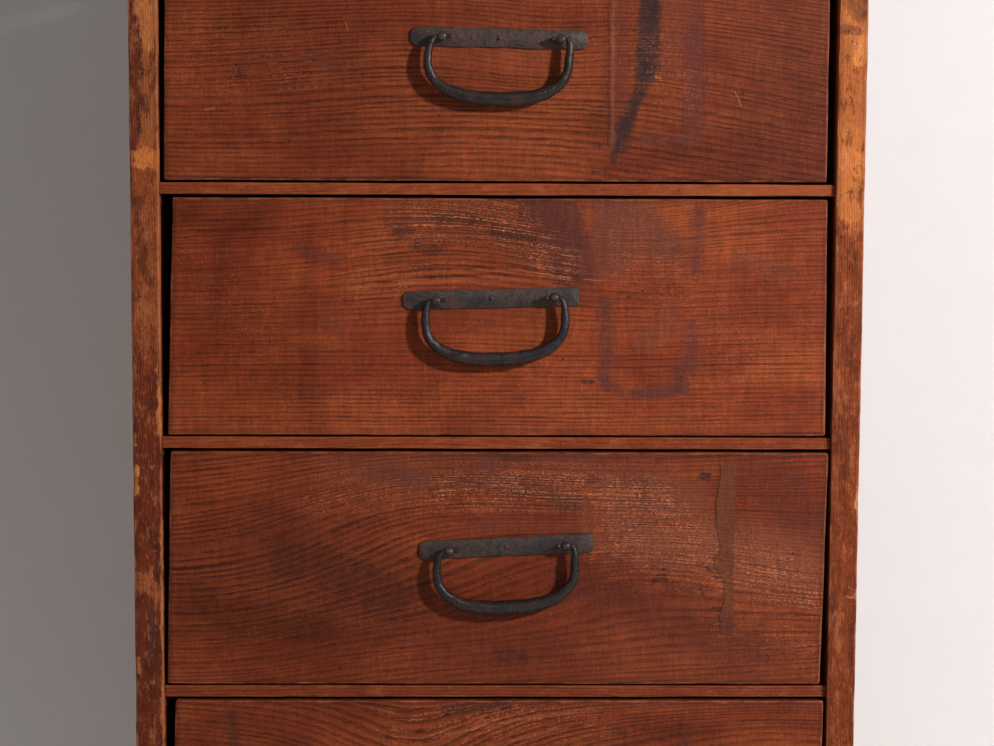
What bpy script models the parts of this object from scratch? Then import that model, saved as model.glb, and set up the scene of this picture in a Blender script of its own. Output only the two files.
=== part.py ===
"""Tansu chest: a tall, narrow chest of five drawers in reddish softwood, with forged iron bail pulls.

Metres, +Z up. The origin is on the floor under the middle of the carcass, and the front faces -Y.
"""

import math

import bmesh
import bpy
from mathutils import Matrix

# Clearance between two pieces that touch.
FIT = 0.0003

# Carcass.
CHEST_WIDTH = 0.455
CHEST_DEPTH = 0.394
SIDE_THICKNESS = 0.018
TOP_THICKNESS = 0.018
FLOOR_THICKNESS = 0.018
DIVIDER_THICKNESS = 0.0075
DIVIDER_SETBACK = 0.0035
OPENING_HEIGHT = 0.151
HOUSING_DEPTH = 0.005
BACK_THICKNESS = 0.007
BACK_LAP = 0.006
BACK_BOARDS = 2
BOARD_ARRIS = 0.001

# Drawers.
FRONT_THICKNESS = 0.016
FRONT_SETBACK = 0.002
FRONT_RAISE = 0.0012
FRONT_HEADROOM = 0.0018
FRONT_ARRIS = 0.0012
DRAWER_SIDE_THICKNESS = 0.009
DRAWER_BACK_THICKNESS = 0.009
DRAWER_BOTTOM_THICKNESS = 0.006
DRAWER_SIDE_HEADROOM = 0.006
SIDE_LAP = 0.008
REAR_CLEARANCE = 0.012
DRAWER_ARRIS = 0.0006

# Gap between each drawer front and the side boards, from the top drawer down:
# left at the top, left at the bottom, right at the top, right at the bottom.
# The drawers have racked a little out of square with age.
SIDE_GAPS = (
    (0.0046, 0.0026, 0.0055, 0.0055),
    (0.0079, 0.0037, 0.0048, 0.0036),
    (0.0051, 0.0016, 0.0012, 0.0040),
    (0.0067, 0.0028, 0.0012, 0.0041),
    (0.0045, 0.0030, 0.0035, 0.0040),
)

# Each pull's place on its drawer front, from the top drawer down: sideways offset, depth below
# the front's top edge, tilt in degrees with the right end up, and the plate's slip along itself.
HANDLE_PLACES = (
    (0.0016, 0.0603, -1.2, -0.0013),
    (-0.0016, 0.0620, 1.6, -0.0025),
    (0.0067, 0.0597, 2.6, -0.0006),
    (0.0000, 0.0605, 0.8, 0.0005),
    (-0.0020, 0.0605, -0.9, 0.0000),
)

# Pull plate and its nail.
PLATE_LENGTH = 0.110
PLATE_HEIGHT = 0.012
PLATE_THICKNESS = 0.0012
PLATE_CLIP = 0.0024
NAIL_HEAD_RADIUS = 0.0015
NAIL_HEAD_RISE = 0.0005
NAIL_RADIUS = 0.0008
NAIL_LENGTH = 0.012

# Eye posts: a split pin with an eye in front and two legs clinched behind the drawer front.
POST_SPACING = 0.073
PIVOT_STANDOFF = 0.008
EYE_WALL = 0.0015
EYE_WIDTH = 0.0046
SHANK_RADIUS = 0.0015
LEG_RADIUS = 0.0010
LEG_LENGTH = 0.012

# Bail: a forged bar, thick in the middle, with thin ends turned in through the eyes.
PIN_RADIUS = 0.0012
PIN_REACH = 0.0052
BAIL_RADIUS = 0.0048
BAIL_HALF_WIDTH = 0.0433
BAIL_DROP = 0.0373
BAIL_SHOULDER = 0.013
BAIL_SQUARENESS = 2.5

# Values that follow from the sizes above.
DRAWERS = len(SIDE_GAPS)
OPENING_HALF = CHEST_WIDTH / 2 - SIDE_THICKNESS
LEVEL_PITCH = OPENING_HEIGHT + DIVIDER_THICKNESS
STACK_HEIGHT = DRAWERS * OPENING_HEIGHT + (DRAWERS - 1) * DIVIDER_THICKNESS
TOP_UNDERSIDE = FLOOR_THICKNESS + STACK_HEIGHT
FRONT_Y = -CHEST_DEPTH / 2
REAR_Y = CHEST_DEPTH / 2
BACK_INNER_Y = REAR_Y - BACK_THICKNESS
DRAWER_FACE_Y = FRONT_Y + FRONT_SETBACK
FRONT_HEIGHT = OPENING_HEIGHT - FRONT_RAISE - FRONT_HEADROOM
DRAWER_LENGTH = BACK_INNER_Y - REAR_CLEARANCE - DRAWER_FACE_Y
EYE_HOLE_RADIUS = PIN_RADIUS + FIT
EYE_RADIUS = EYE_HOLE_RADIUS + EYE_WALL
CUT_MARGIN = 0.002


def clear_scene():
    for obj in list(bpy.data.objects):
        bpy.data.objects.remove(obj, do_unlink=True)


def make_collection(name):
    collection = bpy.data.collections.new(name)
    bpy.context.scene.collection.children.link(collection)
    return collection


def make_material(name, colour, roughness, metallic):
    material = bpy.data.materials.new(name)
    material.use_nodes = True
    shader = material.node_tree.nodes["Principled BSDF"]
    shader.inputs["Base Color"].default_value = (*colour, 1.0)
    shader.inputs["Roughness"].default_value = roughness
    shader.inputs["Metallic"].default_value = metallic
    material.diffuse_color = (*colour, 1.0)
    return material


clear_scene()
CHEST = make_collection("tansu_chest")
CUTTERS = make_collection("cutters")
CARCASS_WOOD = make_material("carcass_wood", (0.20, 0.062, 0.024), 0.55, 0.0)
FRONT_WOOD = make_material("drawer_front_wood", (0.17, 0.048, 0.020), 0.50, 0.0)
INNER_WOOD = make_material("inner_wood", (0.42, 0.26, 0.14), 0.70, 0.0)
IRON = make_material("forged_iron", (0.052, 0.045, 0.042), 0.50, 0.85)


def add_object(name, data, material, location=(0, 0, 0), parent=None):
    obj = bpy.data.objects.new(name, data)
    CHEST.objects.link(obj)
    obj.location = location
    obj.parent = parent
    if not data.materials:
        data.materials.append(material)
    return obj


def add_empty(name, location, parent=None, tilt=0.0):
    empty = bpy.data.objects.new(name, None)
    CHEST.objects.link(empty)
    empty.location = location
    empty.rotation_euler = (0.0, -tilt, 0.0)
    empty.parent = parent
    return empty


def mesh_from(bm, name):
    mesh = bpy.data.meshes.new(name)
    bm.to_mesh(mesh)
    bm.free()
    return mesh


def add_box(bm, low, high):
    """A box from its low corner to its high corner. It returns the box's vertices."""
    size = [high[i] - low[i] for i in range(3)]
    centre = [(high[i] + low[i]) / 2 for i in range(3)]
    place = Matrix.Translation(centre) @ Matrix.Diagonal((*size, 1.0))
    return bmesh.ops.create_cube(bm, size=1.0, matrix=place)["verts"]


def add_rod(bm, radius, start, length, segments=12):
    """A round rod along +Y from start."""
    middle = (start[0], start[1] + length / 2, start[2])
    place = Matrix.Translation(middle) @ Matrix.Rotation(math.radians(90), 4, "X")
    bmesh.ops.create_cone(
        bm,
        cap_ends=True,
        segments=segments,
        radius1=radius,
        radius2=radius,
        depth=length,
        matrix=place,
    )


def lean(verts, left, right):
    """Moves a box's left and right faces onto two leaning lines, which give x for a height."""
    middle = sum(vert.co.x for vert in verts) / len(verts)
    for vert in verts:
        line = left if vert.co.x < middle else right
        vert.co.x = line(vert.co.z)


def add_bevel(obj, width, segments=1):
    bevel = obj.modifiers.new("arris", "BEVEL")
    bevel.width = width
    bevel.segments = segments
    bevel.limit_method = "ANGLE"


def add_cut(obj, bm, name):
    """Cuts the shapes in bm, given in the object's own coordinates, out of the object."""
    cutter = bpy.data.objects.new(name, mesh_from(bm, name))
    CUTTERS.objects.link(cutter)
    cutter.parent = obj
    cutter.hide_render = True
    cutter.display_type = "WIRE"
    cut = obj.modifiers.new(name, "BOOLEAN")
    cut.operation = "DIFFERENCE"
    cut.object = cutter


def add_board(name, low, high, material, arris, parent=None):
    """A straight board, with its object's origin at its middle."""
    centre = [(low[i] + high[i]) / 2 for i in range(3)]
    half = [(high[i] - low[i]) / 2 for i in range(3)]
    bm = bmesh.new()
    add_box(bm, [-h for h in half], half)
    board = add_object(name, mesh_from(bm, name), material, centre, parent)
    add_bevel(board, arris)
    return board


def level_z(level):
    """The height of the surface that a drawer slides on, counted from the top drawer down."""
    return FLOOR_THICKNESS + (DRAWERS - 1 - level) * LEVEL_PITCH


def add_side_board(name, side):
    """A side board, housed for the floor board and the dividers and rebated for the back."""
    inner = side * OPENING_HALF
    outer = side * CHEST_WIDTH / 2
    low = (min(inner, outer), FRONT_Y, 0.0)
    high = (max(inner, outer), REAR_Y, TOP_UNDERSIDE - FIT)
    board = add_board(name, low, high, CARCASS_WOOD, BOARD_ARRIS)
    centre = [(low[i] + high[i]) / 2 for i in range(3)]
    housing_y = FRONT_Y + DIVIDER_SETBACK - FIT
    spans = [(-CUT_MARGIN, FLOOR_THICKNESS + FIT)]
    for level in range(DRAWERS - 1):
        top = level_z(level)
        spans.append((top - DIVIDER_THICKNESS - FIT, top + FIT))
    housings = bmesh.new()
    deep = inner + side * HOUSING_DEPTH
    clear = inner - side * CUT_MARGIN
    for z_low, z_high in spans:
        add_box(
            housings,
            (min(deep, clear) - centre[0], housing_y - centre[1], z_low - centre[2]),
            (max(deep, clear) - centre[0], REAR_Y + CUT_MARGIN - centre[1], z_high - centre[2]),
        )
    add_cut(board, housings, name + "_housings")
    rebate = bmesh.new()
    deep = inner + side * BACK_LAP
    add_box(
        rebate,
        (min(deep, clear) - centre[0], BACK_INNER_Y - FIT - centre[1], -centre[2] - CUT_MARGIN),
        (
            max(deep, clear) - centre[0],
            REAR_Y + CUT_MARGIN - centre[1],
            TOP_UNDERSIDE + CUT_MARGIN - centre[2],
        ),
    )
    add_cut(board, rebate, name + "_rebate")


def build_carcass():
    add_side_board("side_board_left", -1)
    add_side_board("side_board_right", 1)
    add_board(
        "top_board",
        (-CHEST_WIDTH / 2, FRONT_Y, TOP_UNDERSIDE),
        (CHEST_WIDTH / 2, REAR_Y, TOP_UNDERSIDE + TOP_THICKNESS),
        CARCASS_WOOD,
        BOARD_ARRIS,
    )
    shelf_end = OPENING_HALF + HOUSING_DEPTH - FIT
    shelf_front = FRONT_Y + DIVIDER_SETBACK
    shelf_rear = BACK_INNER_Y - 2 * FIT
    add_board(
        "floor_board",
        (-shelf_end, shelf_front, 0.0),
        (shelf_end, shelf_rear, FLOOR_THICKNESS),
        CARCASS_WOOD,
        BOARD_ARRIS,
    )
    for level in range(DRAWERS - 1):
        top = level_z(level)
        add_board(
            f"divider_{level + 1}",
            (-shelf_end, shelf_front, top - DIVIDER_THICKNESS),
            (shelf_end, shelf_rear, top),
            CARCASS_WOOD,
            BOARD_ARRIS,
        )
    back_end = OPENING_HALF + BACK_LAP - FIT
    back_width = (2 * back_end - (BACK_BOARDS - 1) * FIT) / BACK_BOARDS
    for index in range(BACK_BOARDS):
        x_low = -back_end + index * (back_width + FIT)
        add_board(
            f"back_board_{index + 1}",
            (x_low, BACK_INNER_Y, 0.0),
            (x_low + back_width, REAR_Y, TOP_UNDERSIDE - FIT),
            CARCASS_WOOD,
            BOARD_ARRIS,
        )


def edge_lines(level):
    """The leaning left and right edges of one drawer, as functions of height in the drawer."""
    left_top, left_low, right_top, right_low = SIDE_GAPS[level]

    def left(z):
        share = (z - FRONT_RAISE) / FRONT_HEIGHT
        return -OPENING_HALF + left_low + (left_top - left_low) * share

    def right(z):
        share = (z - FRONT_RAISE) / FRONT_HEIGHT
        return OPENING_HALF - right_low - (right_top - right_low) * share

    return left, right


def add_leaning_board(name, left, right, span_y, span_z, material, arris, parent):
    bm = bmesh.new()
    verts = add_box(bm, (-1, span_y[0], span_z[0]), (1, span_y[1], span_z[1]))
    lean(verts, left, right)
    board = add_object(name, mesh_from(bm, name), material, (0, 0, 0), parent)
    add_bevel(board, arris)
    return board


def handle_pivot(level):
    """The middle of a pull's hinge axis, measured in its drawer."""
    offset, depth, _, _ = HANDLE_PLACES[level]
    return (offset, -PIVOT_STANDOFF, FRONT_RAISE + FRONT_HEIGHT - depth)


def along_handle(level, distance):
    """The x and z, in the drawer, of a point this far along the pull's axis from its middle."""
    x, _, z = handle_pivot(level)
    tilt = math.radians(HANDLE_PLACES[level][2])
    return x + distance * math.cos(tilt), z + distance * math.sin(tilt)


def build_drawer_box(level, drawer):
    """The boards of one drawer. The drawer's own origin is on its face, at the level it slides on."""
    name = drawer.name
    left, right = edge_lines(level)
    bottom_top = FIT + DRAWER_BOTTOM_THICKNESS
    side_low = bottom_top + FIT
    side_high = OPENING_HEIGHT - DRAWER_SIDE_HEADROOM
    lap_y = FRONT_THICKNESS - SIDE_LAP

    front = add_leaning_board(
        name + "_front",
        left,
        right,
        (0.0, FRONT_THICKNESS),
        (FRONT_RAISE, FRONT_RAISE + FRONT_HEIGHT),
        FRONT_WOOD,
        FRONT_ARRIS,
        drawer,
    )
    cuts = bmesh.new()
    for line, inward in ((left, 1), (right, -1)):
        verts = add_box(
            cuts,
            (-1, lap_y - FIT, -CUT_MARGIN),
            (1, FRONT_THICKNESS + CUT_MARGIN, OPENING_HEIGHT + CUT_MARGIN),
        )
        reach = inward * (DRAWER_SIDE_THICKNESS + FIT)
        margin = -inward * CUT_MARGIN
        low_shift, high_shift = sorted((reach, margin))
        lean(verts, lambda z: line(z) + low_shift, lambda z: line(z) + high_shift)
    hole_length = FRONT_THICKNESS + 2 * CUT_MARGIN
    for side in (-1, 1):
        x, z = along_handle(level, side * POST_SPACING / 2)
        add_rod(cuts, SHANK_RADIUS + FIT, (x, -CUT_MARGIN, z), hole_length)
    x, z = along_handle(level, HANDLE_PLACES[level][3])
    nail_depth = NAIL_LENGTH - PLATE_THICKNESS - FIT
    add_rod(cuts, NAIL_RADIUS + FIT, (x, -CUT_MARGIN, z), nail_depth + CUT_MARGIN + FIT)
    add_cut(front, cuts, name + "_front_cuts")

    side_span_y = (lap_y, DRAWER_LENGTH)
    side_span_z = (side_low, side_high)
    add_leaning_board(
        name + "_side_left",
        left,
        lambda z: left(z) + DRAWER_SIDE_THICKNESS,
        side_span_y,
        side_span_z,
        INNER_WOOD,
        DRAWER_ARRIS,
        drawer,
    )
    add_leaning_board(
        name + "_side_right",
        lambda z: right(z) - DRAWER_SIDE_THICKNESS,
        right,
        side_span_y,
        side_span_z,
        INNER_WOOD,
        DRAWER_ARRIS,
        drawer,
    )
    add_leaning_board(
        name + "_back",
        lambda z: left(z) + DRAWER_SIDE_THICKNESS + FIT,
        lambda z: right(z) - DRAWER_SIDE_THICKNESS - FIT,
        (DRAWER_LENGTH - DRAWER_BACK_THICKNESS, DRAWER_LENGTH),
        side_span_z,
        INNER_WOOD,
        DRAWER_ARRIS,
        drawer,
    )
    add_board(
        name + "_bottom",
        (left(FIT), FRONT_THICKNESS + FIT, FIT),
        (right(FIT), DRAWER_LENGTH, bottom_top),
        INNER_WOOD,
        DRAWER_ARRIS,
        drawer,
    )


def build_plate(level, handle):
    """The pull plate, lying on the drawer front. The handle's origin is on the hinge axis."""
    slip = HANDLE_PLACES[level][3]
    bm = bmesh.new()
    half = (PLATE_LENGTH / 2, PLATE_THICKNESS / 2, PLATE_HEIGHT / 2)
    add_box(bm, [-h for h in half], half)
    corners = [edge for edge in bm.edges if abs(edge.verts[0].co.y - edge.verts[1].co.y) > 0]
    bmesh.ops.bevel(
        bm, geom=corners, offset=PLATE_CLIP, segments=2, profile=0.5, affect="EDGES"
    )
    name = f"pull_{level + 1}_plate"
    y = PIVOT_STANDOFF - FIT - PLATE_THICKNESS / 2
    plate = add_object(name, mesh_from(bm, name), IRON, (slip, y, 0), handle)
    holes = bmesh.new()
    length = PLATE_THICKNESS + 2 * CUT_MARGIN
    for side in (-1, 1):
        start = (side * POST_SPACING / 2 - slip, -length / 2, 0)
        add_rod(holes, SHANK_RADIUS + FIT, start, length)
    add_rod(holes, NAIL_RADIUS + FIT, (0, -length / 2, 0), length)
    add_cut(plate, holes, name + "_holes")


def make_nail_mesh():
    """A nail with a low round head, turned about its own axis, pointing along +Y."""
    profile = (
        (0.0, -NAIL_HEAD_RISE),
        (NAIL_HEAD_RADIUS * 0.6, -NAIL_HEAD_RISE * 0.8),
        (NAIL_HEAD_RADIUS, 0.0),
        (NAIL_RADIUS, 0.0),
        (NAIL_RADIUS, NAIL_LENGTH * 0.7),
        (0.0, NAIL_LENGTH),
    )
    bm = bmesh.new()
    verts = [bm.verts.new((r, y, 0.0)) for r, y in profile]
    for first, second in zip(verts, verts[1:]):
        bm.edges.new((first, second))
    nail = bpy.data.objects.new("nail_profile", mesh_from(bm, "nail_profile"))
    CUTTERS.objects.link(nail)
    screw = nail.modifiers.new("turn", "SCREW")
    screw.axis = "Y"
    screw.steps = 10
    screw.render_steps = 10
    screw.use_merge_vertices = True
    screw.merge_threshold = 0.00001
    screw.use_normal_calculate = True
    return baked_mesh(nail, "nail")


def baked_mesh(obj, name):
    """The evaluated mesh of a helper object, which is then removed."""
    bpy.context.view_layer.update()
    graph = bpy.context.evaluated_depsgraph_get()
    mesh = bpy.data.meshes.new_from_object(obj.evaluated_get(graph))
    mesh.name = name
    bpy.data.objects.remove(obj, do_unlink=True)
    bm = bmesh.new()
    bm.from_mesh(mesh)
    bmesh.ops.remove_doubles(bm, verts=bm.verts, dist=0.000001)
    bmesh.ops.recalc_face_normals(bm, faces=bm.faces)
    bm.to_mesh(mesh)
    bm.free()
    mesh.materials.clear()
    mesh.shade_smooth()
    mesh.set_sharp_from_angle(angle=math.radians(50))
    return mesh


def make_eye():
    """The ring of an eye post: a stout barrel with its hole along X."""
    middle = (EYE_HOLE_RADIUS + EYE_RADIUS) / 2
    bpy.ops.mesh.primitive_torus_add(
        major_radius=middle,
        minor_radius=EYE_WALL / 2,
        major_segments=16,
        minor_segments=8,
    )
    eye = bpy.context.object
    widen = Matrix.Diagonal((1.0, 1.0, EYE_WIDTH / EYE_WALL, 1.0))
    eye.data.transform(Matrix.Rotation(math.radians(90), 4, "Y") @ widen)
    return eye


def join_by_union(base, bm, name):
    """Joins one more shape to a helper object by a Boolean union."""
    other = bpy.data.objects.new(name, mesh_from(bm, name))
    CUTTERS.objects.link(other)
    union = base.modifiers.new(name, "BOOLEAN")
    union.operation = "UNION"
    union.object = other
    return other


def make_post_mesh():
    """One eye post. Its origin is the middle of the eye, and its shank runs along +Y."""
    eye = make_eye()
    leg_y = PIVOT_STANDOFF + FRONT_THICKNESS + FIT + LEG_RADIUS
    shank_start = (EYE_HOLE_RADIUS + EYE_RADIUS) / 2
    shank = bmesh.new()
    add_rod(shank, SHANK_RADIUS, (0, shank_start, 0), leg_y + LEG_RADIUS - shank_start, 10)
    legs = bmesh.new()
    for turn in (0, 180):
        bmesh.ops.create_cone(
            legs,
            cap_ends=True,
            segments=6,
            radius1=LEG_RADIUS,
            radius2=LEG_RADIUS * 0.4,
            depth=LEG_LENGTH,
            matrix=Matrix.Translation((0, leg_y, 0))
            @ Matrix.Rotation(math.radians(turn), 4, "Y")
            @ Matrix.Translation((0, 0, SHANK_RADIUS / 2 + LEG_LENGTH / 2)),
        )
    helpers = [join_by_union(eye, shank, "post_shank"), join_by_union(eye, legs, "post_legs")]
    mesh = baked_mesh(eye, "eye_post")
    for helper in helpers:
        bpy.data.objects.remove(helper, do_unlink=True)
    return mesh


def bail_half_path():
    """Points (x, z, radius) of the bail's right half, from the end of its pin to its middle."""
    post = POST_SPACING / 2
    pin_end = post + EYE_WIDTH / 2 + FIT
    points = [(post - PIN_REACH, 0.0, PIN_RADIUS), (post, 0.0, PIN_RADIUS)]
    bend = (
        (pin_end, 0.0),
        (pin_end + (BAIL_HALF_WIDTH - pin_end) * 0.75, 0.0),
        (BAIL_HALF_WIDTH, -BAIL_SHOULDER * 0.4),
        (BAIL_HALF_WIDTH, -BAIL_SHOULDER),
    )
    shoulder_radius = (PIN_RADIUS + BAIL_RADIUS) * 0.37
    steps = 6
    for step in range(steps):
        t = step / steps
        weights = ((1 - t) ** 3, 3 * t * (1 - t) ** 2, 3 * t * t * (1 - t), t**3)
        x = sum(w * p[0] for w, p in zip(weights, bend))
        z = sum(w * p[1] for w, p in zip(weights, bend))
        points.append((x, z, PIN_RADIUS + (shoulder_radius - PIN_RADIUS) * t))
    power = 2 / BAIL_SQUARENESS
    depth = BAIL_DROP - BAIL_SHOULDER
    steps = 11
    for step in range(steps + 1):
        angle = math.radians(90) * step / steps
        x = BAIL_HALF_WIDTH * math.cos(angle) ** power if step < steps else 0.0
        z = -BAIL_SHOULDER - depth * math.sin(angle) ** power
        swell = math.sin(angle) ** 2
        points.append((x, z, shoulder_radius + (BAIL_RADIUS - shoulder_radius) * swell))
    return points


def make_bail_curve():
    half = bail_half_path()
    path = [(-x, z, r) for x, z, r in half] + half[-2::-1]
    curve = bpy.data.curves.new("bail", "CURVE")
    curve.dimensions = "3D"
    curve.bevel_depth = 1.0
    curve.bevel_resolution = 2
    curve.use_fill_caps = True
    spline = curve.splines.new("POLY")
    spline.points.add(len(path) - 1)
    for point, (x, z, radius) in zip(spline.points, path):
        point.co = (x, 0.0, z, 1.0)
        point.radius = radius
    return curve


def build_chest():
    build_carcass()
    post_mesh = make_post_mesh()
    nail_mesh = make_nail_mesh()
    bail_curve = make_bail_curve()
    for level in range(DRAWERS):
        number = level + 1
        drawer = add_empty(f"drawer_{number}", (0, DRAWER_FACE_Y, level_z(level)))
        build_drawer_box(level, drawer)
        tilt = math.radians(HANDLE_PLACES[level][2])
        handle = add_empty(f"pull_{number}", handle_pivot(level), drawer, tilt)
        build_plate(level, handle)
        for side, word in ((-1, "left"), (1, "right")):
            place = (side * POST_SPACING / 2, 0, 0)
            add_object(f"pull_{number}_post_{word}", post_mesh, IRON, place, handle)
        nail_y = PIVOT_STANDOFF - PLATE_THICKNESS - 2 * FIT
        place = (HANDLE_PLACES[level][3], nail_y, 0)
        add_object(f"pull_{number}_nail", nail_mesh, IRON, place, handle)
        add_object(f"pull_{number}_bail", bail_curve, IRON, (0, 0, 0), handle)


build_chest()
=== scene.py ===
"""The dressed tansu chest: worn softwood boards, forged iron pulls, a floor, a wall, lamps and a camera.

Metres, +Z up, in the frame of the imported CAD. The chest stands on the floor at z = 0 with its front
facing -Y, and the origin is under its middle.
"""

import math

import bmesh
import bpy
import numpy as np
from mathutils import Matrix, Vector


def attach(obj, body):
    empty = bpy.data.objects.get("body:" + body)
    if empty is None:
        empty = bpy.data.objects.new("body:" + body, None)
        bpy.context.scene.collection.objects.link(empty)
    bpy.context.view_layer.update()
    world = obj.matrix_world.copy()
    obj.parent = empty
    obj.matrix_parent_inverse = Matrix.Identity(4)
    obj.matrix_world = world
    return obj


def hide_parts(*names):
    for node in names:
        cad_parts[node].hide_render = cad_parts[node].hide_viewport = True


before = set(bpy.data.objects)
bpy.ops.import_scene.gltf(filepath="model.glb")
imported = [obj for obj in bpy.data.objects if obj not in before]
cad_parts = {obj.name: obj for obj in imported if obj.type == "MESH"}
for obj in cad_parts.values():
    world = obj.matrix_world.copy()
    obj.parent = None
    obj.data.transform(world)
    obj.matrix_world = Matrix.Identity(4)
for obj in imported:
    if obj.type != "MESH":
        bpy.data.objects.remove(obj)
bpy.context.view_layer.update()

# Sizes of the chest, the same as in its CAD source.
FIT = 0.0003
CHEST_WIDTH = 0.455
CHEST_DEPTH = 0.394
SIDE_THICKNESS = 0.018
TOP_THICKNESS = 0.018
FLOOR_THICKNESS = 0.018
DIVIDER_THICKNESS = 0.0075
DIVIDER_SETBACK = 0.0035
OPENING_HEIGHT = 0.151
BACK_THICKNESS = 0.007
BACK_LAP = 0.006
FRONT_THICKNESS = 0.016
FRONT_SETBACK = 0.002
FRONT_RAISE = 0.0012
FRONT_HEIGHT = 0.148
DRAWER_SIDE_THICKNESS = 0.009
SIDE_LAP = 0.008
# Each drawer front's gaps beside it: upper left, lower left, upper right and lower right.
SIDE_GAPS = (
    (0.0046, 0.0026, 0.0055, 0.0055),
    (0.0079, 0.0037, 0.0048, 0.0036),
    (0.0051, 0.0016, 0.0012, 0.0040),
    (0.0067, 0.0028, 0.0012, 0.0041),
    (0.0045, 0.0030, 0.0035, 0.0040),
)
# Each pull's place on its front: to the right of the middle, below the upper edge, tilt in degrees,
# and how far the plate is slipped to one side of the eyes.
HANDLE_PLACES = (
    (0.0016, 0.0603, -1.2, -0.0013),
    (-0.0016, 0.0620, 1.6, -0.0025),
    (0.0067, 0.0597, 2.6, -0.0006),
    (0.0000, 0.0605, 0.8, 0.0005),
    (-0.0020, 0.0605, -0.9, 0.0000),
)
PLATE_LENGTH = 0.110
PLATE_HEIGHT = 0.012
PLATE_THICKNESS = 0.0012
NAIL_HEAD_RADIUS = 0.0015
NAIL_HEAD_RISE = 0.0005
POST_SPACING = 0.073
PIVOT_STANDOFF = 0.008
EYE_WALL = 0.0015
EYE_WIDTH = 0.0046
SHANK_RADIUS = 0.0015
LEG_RADIUS = 0.0010
LEG_LENGTH = 0.012
PIN_RADIUS = 0.0012
PIN_REACH = 0.0064
BAIL_RADIUS = 0.0048
BAIL_HALF_WIDTH = 0.0433
BAIL_DROP = 0.0373
BAIL_SHOULDER = 0.013
BAIL_SQUARENESS = 2.5

DRAWERS = len(SIDE_GAPS)
OPENING_HALF = CHEST_WIDTH / 2 - SIDE_THICKNESS
LEVEL_PITCH = OPENING_HEIGHT + DIVIDER_THICKNESS
TOP_UNDERSIDE = FLOOR_THICKNESS + DRAWERS * OPENING_HEIGHT + (DRAWERS - 1) * DIVIDER_THICKNESS
CHEST_HEIGHT = TOP_UNDERSIDE + TOP_THICKNESS
FRONT_Y = -CHEST_DEPTH / 2
REAR_Y = CHEST_DEPTH / 2
DRAWER_FACE_Y = FRONT_Y + FRONT_SETBACK
BACK_INNER_Y = REAR_Y - BACK_THICKNESS

# The marks on the wood are given in millimetres.
MM = 0.001
# Streaks wider than the first have more ragged outlines. Those wider than the second are blotchy.
FINE_WIDTH = 1.4
BROAD_WIDTH = 2.5
# Marks on the boards with softer edges than this are ragged.
RAGGED_SOFTNESS = 1.5
# How clearly the broad faces of the boards show their growth rings.
BROAD_FACE_LINES = 0.42
# The front that has the strip of old paste on it. Levels count from 0 at the top.
PASTE_LEVEL = 2

# The stage: a floor, and a wall a little behind the chest.
STAGE_HALF_WIDTH = 4
STAGE_HALF_DEPTH = 5
STAGE_DROP = 0.0002
WALL_Y = REAR_Y + 0.13
WALL_HEIGHT = 4
# How far the flags that shade the wall rise above the chest.
FLAG_RISE = 0.34
# The key lamp: degrees to the right of the front and above it, distance, size and power.
KEY_TURN, KEY_RISE, KEY_DISTANCE, KEY_SIZE, KEY_POWER = 46, 21, 1.7, 0.13, 31.0
# The lamps behind the chest: name, place and power.
BACK_LAMPS = (("back_lamp_left", (-1.6, 1.9, 1.7), 34.0), ("back_lamp_right", (1.7, 1.7, 1.5), 22.0))
WORLD_STRENGTH = 0.115
# The camera: yaw, pitch and roll in degrees.
CAMERA_TURNS = (0.893, 5.489, 0.250)
CAMERA_PLACE = (-0.0217, -1.5672, 0.6659)


def level_z(level):
    """The height of the surface that a drawer slides on, counted from the top drawer down."""
    return FLOOR_THICKNESS + (DRAWERS - 1 - level) * LEVEL_PITCH


def tint(red, green, blue):
    """A colour as a screen shows it, 0 to 255, turned into linear light."""
    linear = []
    for value in (red, green, blue):
        value = value / 255
        linear.append(value / 12.92 if value <= 0.04045 else ((value + 0.055) / 1.055) ** 2.4)
    return (*linear, 1.0)


# Shader nodes.


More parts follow.
